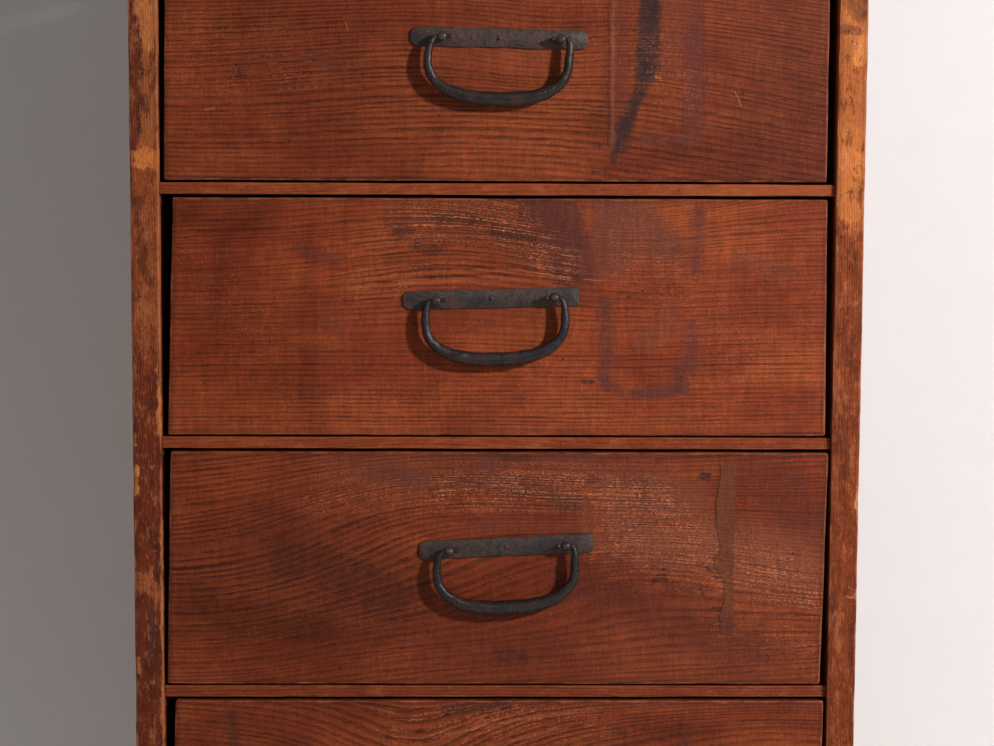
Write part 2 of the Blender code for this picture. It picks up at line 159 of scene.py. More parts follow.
class Shading:
    """Adds shader nodes by short calls. A value is a number, a tuple or another node's output."""

    def __init__(self, name):
        self.material = bpy.data.materials.new(name)
        self.material.use_nodes = True
        self.tree = self.material.node_tree
        self.shader = self.tree.nodes["Principled BSDF"]
        self.output = self.tree.nodes["Material Output"]

    def feed(self, socket, value):
        if isinstance(value, bpy.types.NodeSocket):
            self.tree.links.new(value, socket)
        else:
            socket.default_value = value

    def surface(self, values):
        """Gives the shader's inputs their values, by name."""
        for name, value in values.items():
            self.feed(self.shader.inputs[name], value)
        return self.material

    def node(self, kind, inputs=(), **settings):
        """A new node. Its inputs are fed in their order, or by name or number where they are a dict."""
        node = self.tree.nodes.new(f"ShaderNode{kind}")
        for key, value in settings.items():
            setattr(node, key, value)
        for key, value in inputs.items() if isinstance(inputs, dict) else enumerate(inputs):
            self.feed(node.inputs[key], value)
        return node

    def math(self, operation, *values, clamp=False):
        return self.node("Math", values, operation=operation, use_clamp=clamp).outputs[0]

    def chain(self, operation, values):
        """Joins values by one operation, from the left."""
        total = values[0]
        for value in values[1:]:
            total = self.math(operation, total, value)
        return total

    def add(self, *values):
        return self.chain("ADD", values)

    def times(self, *values):
        return self.chain("MULTIPLY", values)

    def most(self, *values):
        return self.chain("MAXIMUM", values)

    def less(self, first, second):
        return self.math("SUBTRACT", first, second)

    def vector(self, operation, *values):
        output = "Value" if operation in ("DOT_PRODUCT", "LENGTH") else "Vector"
        return self.node("VectorMath", values, operation=operation).outputs[output]

    def scale(self, vector, factor):
        return self.node("VectorMath", {0: vector, "Scale": factor}, operation="SCALE").outputs["Vector"]

    def after(self, vector, mask):
        """The same vector, but worked out after a mask, so that Cycles holds few values at once."""
        return self.scale(vector, self.math("MAXIMUM", mask, 1.0))

    def join(self, x, y, z):
        return self.node("CombineXYZ", (x, y, z)).outputs[0]

    def split(self, vector):
        return tuple(self.node("SeparateXYZ", (vector,)).outputs)

    def place(self):
        """The point of the surface in the chest's own frame, which stays with a moving piece."""
        return self.node("TexCoord").outputs["Object"]

    def attribute(self, name):
        return self.node("Attribute", attribute_name=name).outputs["Fac"]

    def noise(self, vector, scale=1.0, detail=2.0, roughness=0.5, output=0):
        inputs = {"Vector": vector, "Scale": scale, "Detail": detail, "Roughness": roughness}
        return self.node("TexNoise", inputs).outputs[output]

    def stretched(self, vector, stretch, detail=2.0, roughness=0.5):
        """Noise on coordinates that are scaled by a number of its own along each axis."""
        return self.noise(self.vector("MULTIPLY", vector, stretch), 1.0, detail, roughness)

    def jitter(self, vector, scale, roughness):
        """A random vector about zero. Outlines on coordinates that it bends come out ragged."""
        return self.vector("SUBTRACT", self.noise(vector, scale, 4.0, roughness, "Color"), (0.5, 0.5, 0.5))

    def noise_along(self, value, scale, detail=1.0):
        """Noise that changes along one number only."""
        inputs = {"W": value, "Scale": scale, "Detail": detail}
        return self.node("TexNoise", inputs, noise_dimensions="1D").outputs[0]

    def dice(self, value):
        """A random number from 0 to 1 for each whole number."""
        return self.node("TexWhiteNoise", {"W": value}, noise_dimensions="1D").outputs["Value"]

    def cells(self, vector, scale, feature="F1"):
        inputs = {"Vector": vector, "Scale": scale}
        return self.node("TexVoronoi", inputs, feature=feature).outputs["Distance"]

    def ease(self, value, low, high, start=0.0, end=1.0):
        """A smooth step: start where the value is at low, end where it is at high."""
        inputs = (value, low, high, start, end)
        return self.node("MapRange", inputs, interpolation_type="SMOOTHSTEP").outputs[0]

    def mix(self, factor, first, second, blend="MIX"):
        inputs = {"Factor": factor, 6: first, 7: second}
        return self.node("Mix", inputs, data_type="RGBA", blend_type=blend).outputs[2]

    def shade(self, colour, factor):
        """A colour made lighter or darker by a number."""
        return self.mix(1.0, colour, self.join(factor, factor, factor), "MULTIPLY")

    def bump(self, height, distance, strength=1.0):
        return self.node("Bump", {"Height": height, "Distance": distance, "Strength": strength}).outputs[0]

    def streak(self, point, start, end, width, soft):
        """A mask that is 1 within this width of the line from start to end and fades over soft."""
        run = (end[0] - start[0], 0.0, end[1] - start[1])
        square = max(run[0] ** 2 + run[2] ** 2, 1e-12)
        reach = self.vector("SUBTRACT", point, (start[0], 0.0, start[1]))
        dot = self.vector("DOT_PRODUCT", reach, run)
        share = self.math("MULTIPLY", dot, 1 / square, clamp=True)
        far = self.vector("LENGTH", self.vector("SUBTRACT", reach, self.scale(run, share)))
        return self.ease(far, width + soft, max(width - soft, 0.0))


def hill(s, x, z, height, middle_x, middle_z, wide, high):
    """How far a hill in the grain lifts the rings at a point of a board."""
    across = s.math("POWER", s.times(s.less(x, middle_x), 1 / wide), 2.0)
    up = s.math("POWER", s.times(s.less(z, middle_z), 1 / high), 2.0)
    return s.times(s.math("EXPONENT", s.times(s.add(across, up), -1.0)), height)


def softwood(s, along, across, deep, lift, ring_width, seed):
    """Growth rings and fibres of a board.

    It gives the dark late wood, its crest, a random value for each ring, the fibres, and fine light
    lines that run with the grain.
    """
    seat = s.vector("ADD", s.join(along, across, deep), (seed * 1.37, seed * 0.91, seed * 0.53))
    slow = s.stretched(seat, (6, 38, 38))
    quick = s.stretched(seat, (60, 330, 330))
    height = s.add(across, s.times(deep, 0.35), s.times(lift, -1.0))
    height = s.add(height, s.times(s.less(slow, 0.5), 0.0042), s.times(s.less(quick, 0.5), 0.0012))
    count = s.times(height, 1 / ring_width)
    wander = s.noise_along(s.add(height, seed), 60.0, 2.0)
    count = s.add(count, s.times(s.less(wander, 0.5), 2.2), 200.0)
    number = s.math("FLOOR", count)
    share = s.math("FRACT", count)
    late = s.times(s.ease(share, 0.14, 0.66), s.ease(share, 1.0, 0.80))
    crest = s.times(s.ease(share, 0.50, 0.80), s.ease(share, 1.0, 0.88))
    luck = s.dice(number)
    fibre = s.join(s.times(along, 70.0), s.times(s.add(height, seed), 1400.0), s.times(deep, 400.0))
    fibre = s.noise(fibre, 1.0, 2.0, 0.7)
    threads = s.noise_along(s.add(height, s.times(s.less(quick, 0.5), 0.0014), seed), 860.0, 1.0)
    broken = s.ease(s.stretched(seat, (50, 420, 420), 3.0, 0.7), 0.34, 0.60)
    late = s.times(late, s.add(0.40, s.times(broken, 0.75)))
    return late, crest, luck, fibre, threads


# Colours of the stained wood, from the photograph.
RED_EARLY = tint(117, 48, 25)
ORANGE_EARLY = tint(141, 67, 33)
RED_LATE = tint(73, 29, 15)
GOLD = tint(148, 75, 40)
RUBBED = tint(168, 98, 62)
BARE_WOOD = tint(186, 116, 68)
INK = tint(44, 30, 31)
PURPLE = tint(80, 41, 36)
DIRT = tint(50, 29, 22)
HAZE = tint(102, 54, 40)
PASTE = tint(99, 55, 34)
MARK = tint(90, 45, 38)
MURK = tint(86, 39, 28)

# These two darken the wood under them and keep its grain. The others cover it.
SHADE = (0.50, 0.45, 0.43, 1.0)
# The second is painted shade, laid on the left ends of the lower four fronts, away from the key lamp.
PAINTED_LEFT_SHADE = (0.78, 0.66, 0.58, 1.0)


def lay_stain_or_painted_light(s, factor, colour, shade):
    """A colour with this share of staining, painted shade or a painted highlight laid over it."""
    return s.mix(factor, colour, shade, "MULTIPLY" if shade in (SHADE, PAINTED_LEFT_SHADE) else "MIX")


def finish_wood(s, colour, height, rough):
    """Joins a wood's colour, relief and roughness to its shader."""
    return s.surface({"Base Color": colour, "Roughness": rough, "Specular IOR Level": 0.12,
                      "Normal": s.bump(height, 0.00022)})


# What each drawer front shows, from the top drawer down, in millimetres from the chest's middle
# and from the surface that the drawer slides on. hills: height of a hill in the grain, x and z of
# its middle, width and height. bold and rubbed: strength, width, softness, and x and z of each point
# of a zone whose rings stand out, or whose raised grain is rubbed light. clouds and streaks: colour,
# strength, width, softness, and x and z of each point that a ragged stain or a clear mark runs through.
LOOKS = (
    dict(
        ring=3, seed=3.1, tone=0.89, lines=0.44, slope=-0.052,
        hills=((-10.1, 27, 81, 54, 30), (27.7, 39, 74, 196, 78)),
        bold=((0.3, 30, 24, -150, 90, -60, 60), (0.35, 10, 9, -30, 46, 70, 50)),
        rubbed=(
            (0.45, 16, 14, -30, 128, 70, 126), (0.35, 14, 14, 76, 90, 110, 60),
            (0.3, 20, 18, -180, 80, -130, 70),
        ),
        clouds=(
            (PURPLE, 0.45, 5, 4, -118, 78, -100, 73), (SHADE, 0.5, 7, 6, -150, 128, -110, 122),
            (SHADE, 0.5, 8, 7, 60, 36, 110, 20), (HAZE, 0.45, 9, 8, 108, 150, 108, 70),
            (MURK, 0.6, 5, 4, 76, 150, 76, 23), (INK, 0.55, 7, 4, 92, 152, 92.5, 112, 91.5, 72),
        ),
        streaks=(
            (SHADE, 0.45, 34, 26, 186, 150, 188, 20), (MURK, 0.3, 40, 30, 176, 130, 176, 20),
            (SHADE, 0.35, 30, 26, -150, 110, -90, 60), (SHADE, 0.3, 20, 18, 60, 40, 150, 16),
            (tint(150, 78, 44), 0.3, 15, 10, -30, 84, 30, 84),
            (INK, 1, 6.4, 3.6, 92, 152, 92.5, 112, 91.5, 79, 92, 68),
            (INK, 0.95, 4.2, 2.8, 92, 70, 84.8, 51, 78, 34, 74, 24),
            (INK, 0.9, 1.8, 1.4, 74, 26, 70.5, 12), (MARK, 0.75, 4.6, 3.4, 125, 152, 121, 112, 121, 82),
            (MARK, 0.95, 6.4, 3.6, 121, 88, 121.5, 62, 119.5, 32),
            (MARK, 0.85, 2.8, 2.2, 90, 27, 124, 26), (MURK, 0.55, 2, 1.6, 66, 150, 66.6, 23),
            # Painted highlight: the thin line at x = 70.5; painted shadow: the line at x = 67.7.
            (HAZE, 0.8, 2.4, 1, 69.6, 150, 70.2, 23), (RUBBED, 0.3, 0.45, 0.5, 70.2, 150, 70.8, 23),
            (SHADE, 0.8, 0.7, 0.5, 67.4, 150, 68, 23), (INK, 0.8, 1.2, 1.2, 58, 24, 63, 22.5),
            (INK, 0.7, 1.6, 1.4, 59, 8, 66, 7), (INK, 0.75, 1.1, 1.2, -160, 70, -159.6, 64),
            (INK, 0.6, 1.2, 1.2, -131, 26.7, -128.5, 26.5), (BARE_WOOD, 0.7, 1, 0.7, 97, 66, 99.6, 65.4),
            (BARE_WOOD, 0.8, 0.3, 0.35, 145.9, 57.4, 149.8, 48.2),
            (BARE_WOOD, 0.55, 0.4, 0.4, -94, 98, -93, 93),
            (BARE_WOOD, 0.55, 0.45, 0.5, -181, 44.5, -175, 45.2),
        ),
    ),
    dict(
        ring=2.9, seed=7.7, tone=1.09, lines=0.34, slope=0.008,
        hills=((-40.8, 67, 175, 87, 82), (24.9, 34, 125, 116, 45)),
        bold=(
            (0.9, 8, 7, -84, 97, -40, 102, 0, 103, 40, 98), (0.5, 14, 9, -70, 120, 14, 124),
            (0.35, 12, 10, -120, 20, 60, 16),
        ),
        rubbed=(
            (1.3, 13, 8, -52, 134, 0, 136, 22, 120, 38, 108), (0.5, 8, 8, -90, 96, -30, 101),
            (0.45, 16, 14, 80, 120, 130, 80, 150, 50), (0.3, 16, 14, -190, 110, -150, 60),
        ),
        clouds=(
            (MURK, 0.5, 15, 10, -56, 134, 0, 136, 20, 120), (SHADE, 0.35, 12, 10, -60, 112, 10, 116),
            (PURPLE, 0.95, 13, 8, 24, 143, 34, 128, 46, 106),
            (PURPLE, 0.85, 9, 6, 42, 146, 49, 124, 54, 104), (HAZE, 0.8, 10, 7, 70, 143, 70, 114),
            (HAZE, 0.6, 10, 7, 86, 136, 104, 120), (HAZE, 0.45, 8, 7, 108, 78, 92, 60),
            (DIRT, 0.6, 4, 4, -36, 137, -12, 136), (DIRT, 0.7, 4.4, 4, -2, 130, 20, 124),
            (DIRT, 0.45, 4, 4, -64, 128, -56, 128), (DIRT, 0.45, 4, 4, -50, 118, -40, 117),
            (PURPLE, 0.5, 6, 5, -122, 118, -100, 112), (SHADE, 0.4, 7, 6, -150, 34, -110, 28),
            (HAZE, 0.4, 7, 6, 150, 112, 180, 104),
        ),
        streaks=(
            # The first mark is painted shade at the left end.
            (PAINTED_LEFT_SHADE, 0.6, 34, 30, -190, 120, -150, 30), (SHADE, 0.25, 44, 34, -186, 110, -160, 40),
            (MURK, 0.6, 15, 11, 20, 146, 34, 128, 52, 104), (HAZE, 0.8, 15, 9, 74, 143, 72, 116),
            (HAZE, 0.7, 13, 9, 86, 136, 106, 118), (SHADE, 0.25, 18, 12, -60, 130, 0, 132),
            (tint(112, 48, 26), 0.65, 13, 9, -32, 80, 34, 80),
            (SHADE, 0.75, 1, 0.8, -68, 102, -46, 105.3, -12, 106.6, 16, 106, 32, 103.7, 50, 99.6),
            (GOLD, 0.55, 1.1, 0.9, -70, 100.6, -46, 103, -12, 104.4, 16, 103.6, 44, 99.4),
            (SHADE, 0.8, 1.1, 0.9, -42, 100.6, -12, 102.2, 0, 102.3, 27, 99.3, 44, 96.2),
            (GOLD, 0.6, 1.3, 1, -60, 96.4, -40, 98.2, -4, 99.8, 24, 97.2, 50, 92.4),
            (RUBBED, 0.8, 0.35, 0.4, 53.6, 98.8, 64.8, 98.2), (MARK, 0.8, 4.2, 3, 125, 142, 123.5, 104),
            (MARK, 0.9, 4.6, 3, 67, 84, 68.5, 52, 67.5, 33), (MARK, 0.85, 2.6, 2, 68, 36, 78, 28),
            (MARK, 0.95, 3.4, 2.4, 86, 28, 100, 27.5, 116, 31), (MARK, 0.95, 5.8, 3, 113, 34, 118, 44),
            (MARK, 0.9, 3.6, 2.4, 121.5, 44, 122.5, 71), (INK, 1, 1.4, 0.8, 53.8, 35.4, 59.6, 35),
            (SHADE, 0.6, 13, 10, -204, 142, -152, 138), (SHADE, 0.35, 5, 5, -117, 124, -118, 12),
            (SHADE, 0.35, 5, 5, -172, 122, -174, 70), (INK, 0.75, 0.8, 1, 166, 98.6, 169, 97),
            (HAZE, 0.45, 5, 5, -108, 74, -98, 70),
        ),
    ),
    dict(
        ring=3.3, seed=12.9, tone=0.865, lines=0.42, slope=0.063,
        hills=((-11.1, -178, 38, 75, 55), (27.1, 84, 79, 117, 38), (21, -42, 114, 92, 40)),
        bold=((0.55, 34, 24, -180, 80, -70, 66), (0.5, 8, 8, -110, 112, -50, 120)),
        rubbed=(
            (1.5, 13, 9, -30, 124, 40, 128, 100, 118, 120, 96),
            (1.2, 16, 12, 76, 92, 130, 84, 176, 74, 196, 60), (0.6, 12, 12, -110, 122, -50, 124),
            (0.5, 14, 12, 150, 40, 196, 30),
        ),
        clouds=(
            (SHADE, 0.75, 14, 12, -132, 84, -66, 58), (SHADE, 0.65, 12, 10, -190, 50, -110, 34),
            (PURPLE, 0.9, 4.6, 3, -6, 146, -5.7, 132), (DIRT, 0.85, 2.2, 2, -1, 146.2, 24, 145.6),
            (PURPLE, 0.9, 6, 3.6, -6, 130, 6, 130, 18, 126),
            (PURPLE, 0.7, 5, 4, -77, 135, -65, 135, -60, 133, -47, 133),
            (SHADE, 0.75, 7, 5, -30, 133, -14, 132), (PURPLE, 0.75, 2.6, 2.2, 25, 146.2, 60, 146.3),
            (DIRT, 0.65, 7, 6, 16, 126, 50, 119), (HAZE, 0.6, 12, 8, 86, 126, 124, 118),
            (HAZE, 0.5, 8, 7, 56, 134, 80, 120), (PURPLE, 0.7, 4, 3.4, 40, 122, 48, 121.5),
            (HAZE, 0.5, 8, 7, 140, 100, 180, 90), (HAZE, 0.5, 14, 10, 80, 92, 140, 84, 190, 64),
            (MURK, 0.6, 16, 12, 168, 140, 194, 104), (SHADE, 0.5, 10, 10, 50, 70, 110, 42, 152, 26),
        ),
        streaks=(
            # The first mark is painted shade at the left end.
            (PAINTED_LEFT_SHADE, 0.55, 40, 34, -170, 100, -110, 30), (SHADE, 0.5, 26, 22, -132, 84, -66, 58),
            (SHADE, 0.35, 20, 18, -190, 56, -100, 34), (MURK, 0.35, 30, 24, -140, 84, -80, 52),
            (MURK, 0.6, 19, 14, 50, 64, 110, 46, 160, 28), (MURK, 0.35, 18, 13, -40, 22, 60, 22, 190, 12),
            (tint(122, 68, 47), 0.6, 20, 14, 80, 104, 130, 90, 190, 78),
            (HAZE, 0.55, 16, 12, -90, 138, 20, 134, 100, 128), (SHADE, 0.3, 9, 9, 150, 130, 150, 96),
            (HAZE, 0.55, 3.6, 3.6, -17, 102, 56, 102), (GOLD, 0.55, 2.2, 2, -13, 113.8, -5, 113.9),
            (INK, 0.95, 2.8, 1.2, 128.5, 134, 132, 133.4), (MURK, 0.75, 4.6, 2.6, 90.5, 130, 92, 121),
            (DIRT, 1, 1.3, 0.5, 99.6, 67.6, 105.4, 74.6, 107, 67.8),
            (tint(62, 33, 25), 1, 1.4, 0.4, 101.6, 68.6, 105, 71.8, 105.6, 68.6),
            (DIRT, 0.9, 1.2, 0.9, 130.5, 78, 135, 73, 140.6, 68.5),
            (INK, 0.75, 1.2, 1, 129.5, 62.5, 130, 59.4), (DIRT, 0.6, 1.6, 1.6, 104, 61, 124, 61),
            (INK, 0.7, 1.2, 1, 137, 50.6, 143, 49.2),
            (DIRT, 0.8, 0.6, 0.7, 80, 99.5, 92, 104, 101, 106, 110, 108),
            (DIRT, 0.65, 3.4, 4, 0, 20, 16, 18.5),
        ),
    ),
    dict(
        ring=3.3, seed=17.3, tone=0.83, lines=0.44, slope=-0.068,
        hills=((-24.9, -53, 111, 65, 36), (40.2, 207, 131, 171, 36)),
        bold=((0.4, 16, 14, -60, 120, 70, 124),),
        rubbed=((0.8, 12, 12, -60, 134, 60, 138), (0.5, 16, 14, 90, 90, 150, 60)),
        clouds=(
            (DIRT, 0.7, 4, 4, -30, 142, 6, 146), (HAZE, 0.55, 14, 9, 80, 60, 118, 50),
            (SHADE, 0.6, 14, 12, -120, 62, -70, 48), (SHADE, 0.5, 6, 6, 90, 132, 140, 128),
        ),
        streaks=(
            # The first mark is painted shade at the left end.
            (PAINTED_LEFT_SHADE, 0.45, 34, 30, -170, 110, -110, 30), (INK, 0.5, 3, 3, -167, 140, -166, 118),
            (DIRT, 0.7, 2.4, 2.6, 72, 131, 81, 129), (RUBBED, 0.45, 0.7, 0.7, -31, 127, 3, 135, 51, 142),
            (RUBBED, 0.4, 0.7, 0.7, -10, 118, 40, 131), (PURPLE, 0.7, 4, 3, 120, 122, 126, 84),
            (INK, 0.7, 1.6, 1.4, -62, 40, -58, 39),
        ),
    ),
    dict(
        ring=3, seed=23.9, tone=0.94, lines=0.44, slope=0.015,
        hills=((16, -30, 40, 120, 60), (8, 70, 120, 90, 50)),
        bold=((0.6, 12, 12, -80, 60, 40, 64),),
        rubbed=((0.8, 14, 12, -50, 120, 50, 126), (0.4, 16, 14, -150, 60, -90, 40)),
        clouds=(
            (HAZE, 0.6, 15, 10, 60, 44, 120, 60), (DIRT, 0.7, 4, 4, -20, 132, 26, 138),
            (SHADE, 0.55, 14, 12, -160, 110, -110, 120), (PURPLE, 0.6, 8, 7, 150, 36, 180, 24),
        ),
        streaks=(
            # The first mark is painted shade at the left end.
            (PAINTED_LEFT_SHADE, 0.45, 34, 30, -170, 110, -110, 30), (PURPLE, 0.7, 4, 3.2, 104, 120, 98, 76),
            (INK, 0.7, 1.4, 1.3, -80, 52, -76, 51), (INK, 0.6, 1.2, 1.3, 148, 90, 151, 88.6),
            (DIRT, 0.5, 8, 8, -190, 8, -60, 6), (DIRT, 0.5, 8, 8, 40, 6, 190, 8),
        ),
    ),
)

# The strip of old paste: heights above its level, each with the x of its ragged left edge there.
PASTE_STRIP = (
    (33, 141.6), (45, 141.1), (55, 143.6), (65, 143.8), (70, 141.6), (76, 137.8), (83, 137.2),
    (88, 140.7), (97.5, 139.1), (109, 137.8), (119, 137.8), (134, 140.7), (142, 139.7),
)
PASTE_RIGHT = 149.5
# The range of x that the ragged edge stays in.
PASTE_REACH = (130.0, 152.0)

# What shows on the front edges of the side boards and dividers, in millimetres from the chest's
# middle and from the floor: colour, strength, width, softness, and x and z of each point.
LEFT_MARKS = (
    (tint(138, 70, 36), 0.8, 16, 12, -218, 660, -218, 560),
    (tint(92, 36, 18), 0.7, 26, 20, -218, 500, -218, 0),
    (tint(160, 92, 50), 0.6, 8.6, 3, -214, 762, -212, 735, -212, 700, -214, 672),
    (tint(176, 106, 58), 0.8, 8.6, 4, -216, 810, -214, 762, -212, 738),
    (tint(98, 42, 24), 0.85, 3.6, 1.4, -226.5, 756, -224.4, 735, -224, 700, -225.4, 678),
    (tint(40, 22, 14), 0.85, 0.5, 0.6, -227, 775, -224.5, 758, -220.6, 738, -219.9, 714, -222.2, 680),
    (tint(40, 22, 14), 0.6, 0.45, 0.6, -225.6, 772, -221.9, 752, -219.2, 732, -219.2, 700, -221.2, 682),
    (tint(205, 122, 62), 0.85, 7, 3, -221.5, 667, -219, 666),
    (tint(190, 106, 52), 0.8, 7, 3.5, -215, 667, -211, 666),
    (tint(128, 64, 31), 0.65, 5, 4, -224, 566, -210, 566),
    # Painted highlight on the board's inner edge: this light line and those at x = -210.6 and -210.2.
    (tint(180, 104, 54), 0.6, 1.4, 1.2, -210.2, 660, -210.2, 540),
    (tint(72, 32, 18), 0.6, 3, 2.4, -222, 640, -220, 600, -214, 590),
    (tint(150, 86, 48), 0.6, 4, 3, -222, 580, -212, 572),
    (tint(196, 116, 62), 0.9, 1.2, 0.9, -210.6, 538, -210.6, 496),
    (tint(190, 112, 60), 0.8, 0.8, 0.8, -210.2, 440, -210.2, 300),
    (tint(190, 112, 60), 0.5, 0.7, 0.8, -210.2, 300, -210.2, 100),
    (tint(196, 120, 70), 0.85, 1.1, 0.6, -226.6, 496, -226.6, 489),
    (tint(200, 124, 72), 0.95, 2.2, 0.7, -226, 474, -225.8, 459),
    (tint(150, 84, 48), 0.8, 6, 4, -224, 403, -214, 396),
    (tint(66, 28, 16), 0.6, 4, 3, -216, 372, -219, 330),
    (tint(66, 28, 16), 0.5, 3.4, 3, -222, 440, -214, 424),
    (tint(190, 116, 66), 0.7, 1.2, 0.7, -225.8, 353, -225.6, 344),
    (tint(128, 88, 78), 0.8, 1, 0.6, -216, 475.5, -215, 475),
    (PURPLE, 0.75, 2.2, 1.8, -216.5, 386, -217.5, 348), (INK, 0.75, 0.5, 0.5, -219.5, 618, -219, 608),
)
RIGHT_MARKS = (
    (tint(188, 109, 54), 0.9, 16, 12, 218, 780, 218, 640),
    (tint(112, 49, 22), 0.7, 18, 14, 218, 430, 218, 0),
    (tint(180, 106, 60), 0.6, 1.4, 1, 210.2, 800, 210.2, 690),
    (tint(176, 100, 56), 0.45, 0.9, 0.8, 210.2, 690, 210.2, 540),
    (tint(90, 42, 24), 0.6, 3, 2.4, 214, 560, 219, 540),
    (tint(84, 40, 24), 0.55, 3.4, 2.8, 216, 520, 218, 470),
    (tint(96, 52, 28), 0.75, 7, 6, 213, 779, 223, 759),
    (tint(140, 70, 32), 0.4, 12, 9, 218, 732, 218, 700),
    (tint(204, 128, 68), 0.85, 4.4, 3.6, 223.5, 740, 224.5, 734, 222.5, 729),
    (tint(84, 42, 24), 0.65, 2.6, 2.4, 211, 747, 221, 746),
    (tint(198, 118, 62), 0.8, 7, 5, 212, 668, 225, 664), (INK, 0.8, 0.5, 0.5, 217.6, 706, 218.6, 695),
    (INK, 0.8, 0.5, 0.5, 218.6, 650, 218.7, 643), (tint(104, 46, 22), 0.12, 20, 18, 218, 600, 218, 520),
    (tint(214, 146, 98), 0.85, 0.9, 0.7, 226.6, 462, 226.9, 446),
    (tint(196, 132, 88), 0.75, 0.45, 0.45, 221, 392.5, 227.4, 396.3),
    (tint(166, 94, 56), 0.55, 0.5, 0.5, 217.5, 383, 220.8, 377, 225.2, 378),
    (tint(60, 28, 18), 0.5, 2.4, 2.2, 213, 395, 214, 372),
)
DIVIDER_MARKS = (
    (SHADE, 0.45, 9, 4, -206, 331, 206, 331), (SHADE, 0.3, 9, 4, 60, 490, 206, 490),
    (tint(164, 84, 44), 0.45, 5, 4, 120, 648, 200, 648),
)

# Chips in the outer front edges of the side boards: -1 for left or 1 for right, height, reach, depth.
SIDE_DENTS = (
    (-1, 0.4925, 0.0040, 0.0006), (-1, 0.4665, 0.0095, 0.0010), (-1, 0.3490, 0.0050, 0.0006),
    (1, 0.4540, 0.0110, 0.0014), (1, 0.3945, 0.0035, 0.0007), (1, 0.2200, 0.0060, 0.0007),
)

# How far each bail's lower part leans to one side of its eyes.
BAIL_DRIFTS = (-0.0018, -0.0004, -0.0018, 0.0004, 0.0)


def zone(s, point, width, soft, path):
    """A mask along a line of points, each given as x and z, in millimetres."""
    spots = [(x * MM, z * MM) for x, z in zip(path[::2], path[1::2])]
    mask = None
    for start, end in zip(spots, spots[1:]):
        part = s.streak(point, start, end, width * MM, soft * MM)
        mask = part if mask is None else s.most(mask, part)
    return mask


def zones(s, point, given):
    """The strongest of several masks, each given as strength, width, softness and points."""
    total = None
    for strength, width, soft, *path in given:
        part = s.times(zone(s, point, width, soft, path), strength)
        total = part if total is None else s.most(total, part)
        point = s.after(point, part)
    return total


def paste_mask(s, point):
    """The old paste strip, straight on its right and ragged on its left, and a painted shadow beside it.
    """
    x, _, z = s.split(point)
    curve = s.node("FloatCurve")
    low, high = PASTE_STRIP[0][0], PASTE_STRIP[-1][0]
    near, far = PASTE_REACH
    line = curve.mapping.curves[0]
    spots = [((z_mm - low) / (high - low), (x_mm - near) / (far - near)) for z_mm, x_mm in PASTE_STRIP]
    line.points[0].location = spots[0]
    line.points[1].location = spots[-1]
    for spot in spots[1:-1]:
        line.points.new(*spot)
    for dot in line.points:
        dot.handle_type = "VECTOR"
    curve.mapping.update()
    s.feed(curve.inputs["Value"], s.times(s.less(z, low * MM), 1000 / (high - low)))
    edge = s.add(s.times(curve.outputs[0], (far - near) * MM), near * MM)
    left = s.ease(s.less(x, edge), -0.0004, 0.0004)
    right = s.ease(x, PASTE_RIGHT * MM + 0.0003, PASTE_RIGHT * MM - 0.0003)
    ends = s.times(s.ease(z, (low - 1.0) * MM, low * MM), s.ease(z, (high + 1.0) * MM, high * MM))
    shadow = s.ease(s.less(x, edge), -0.0011, -0.0003)
    return s.times(left, right, ends), s.times(shadow, right, ends)


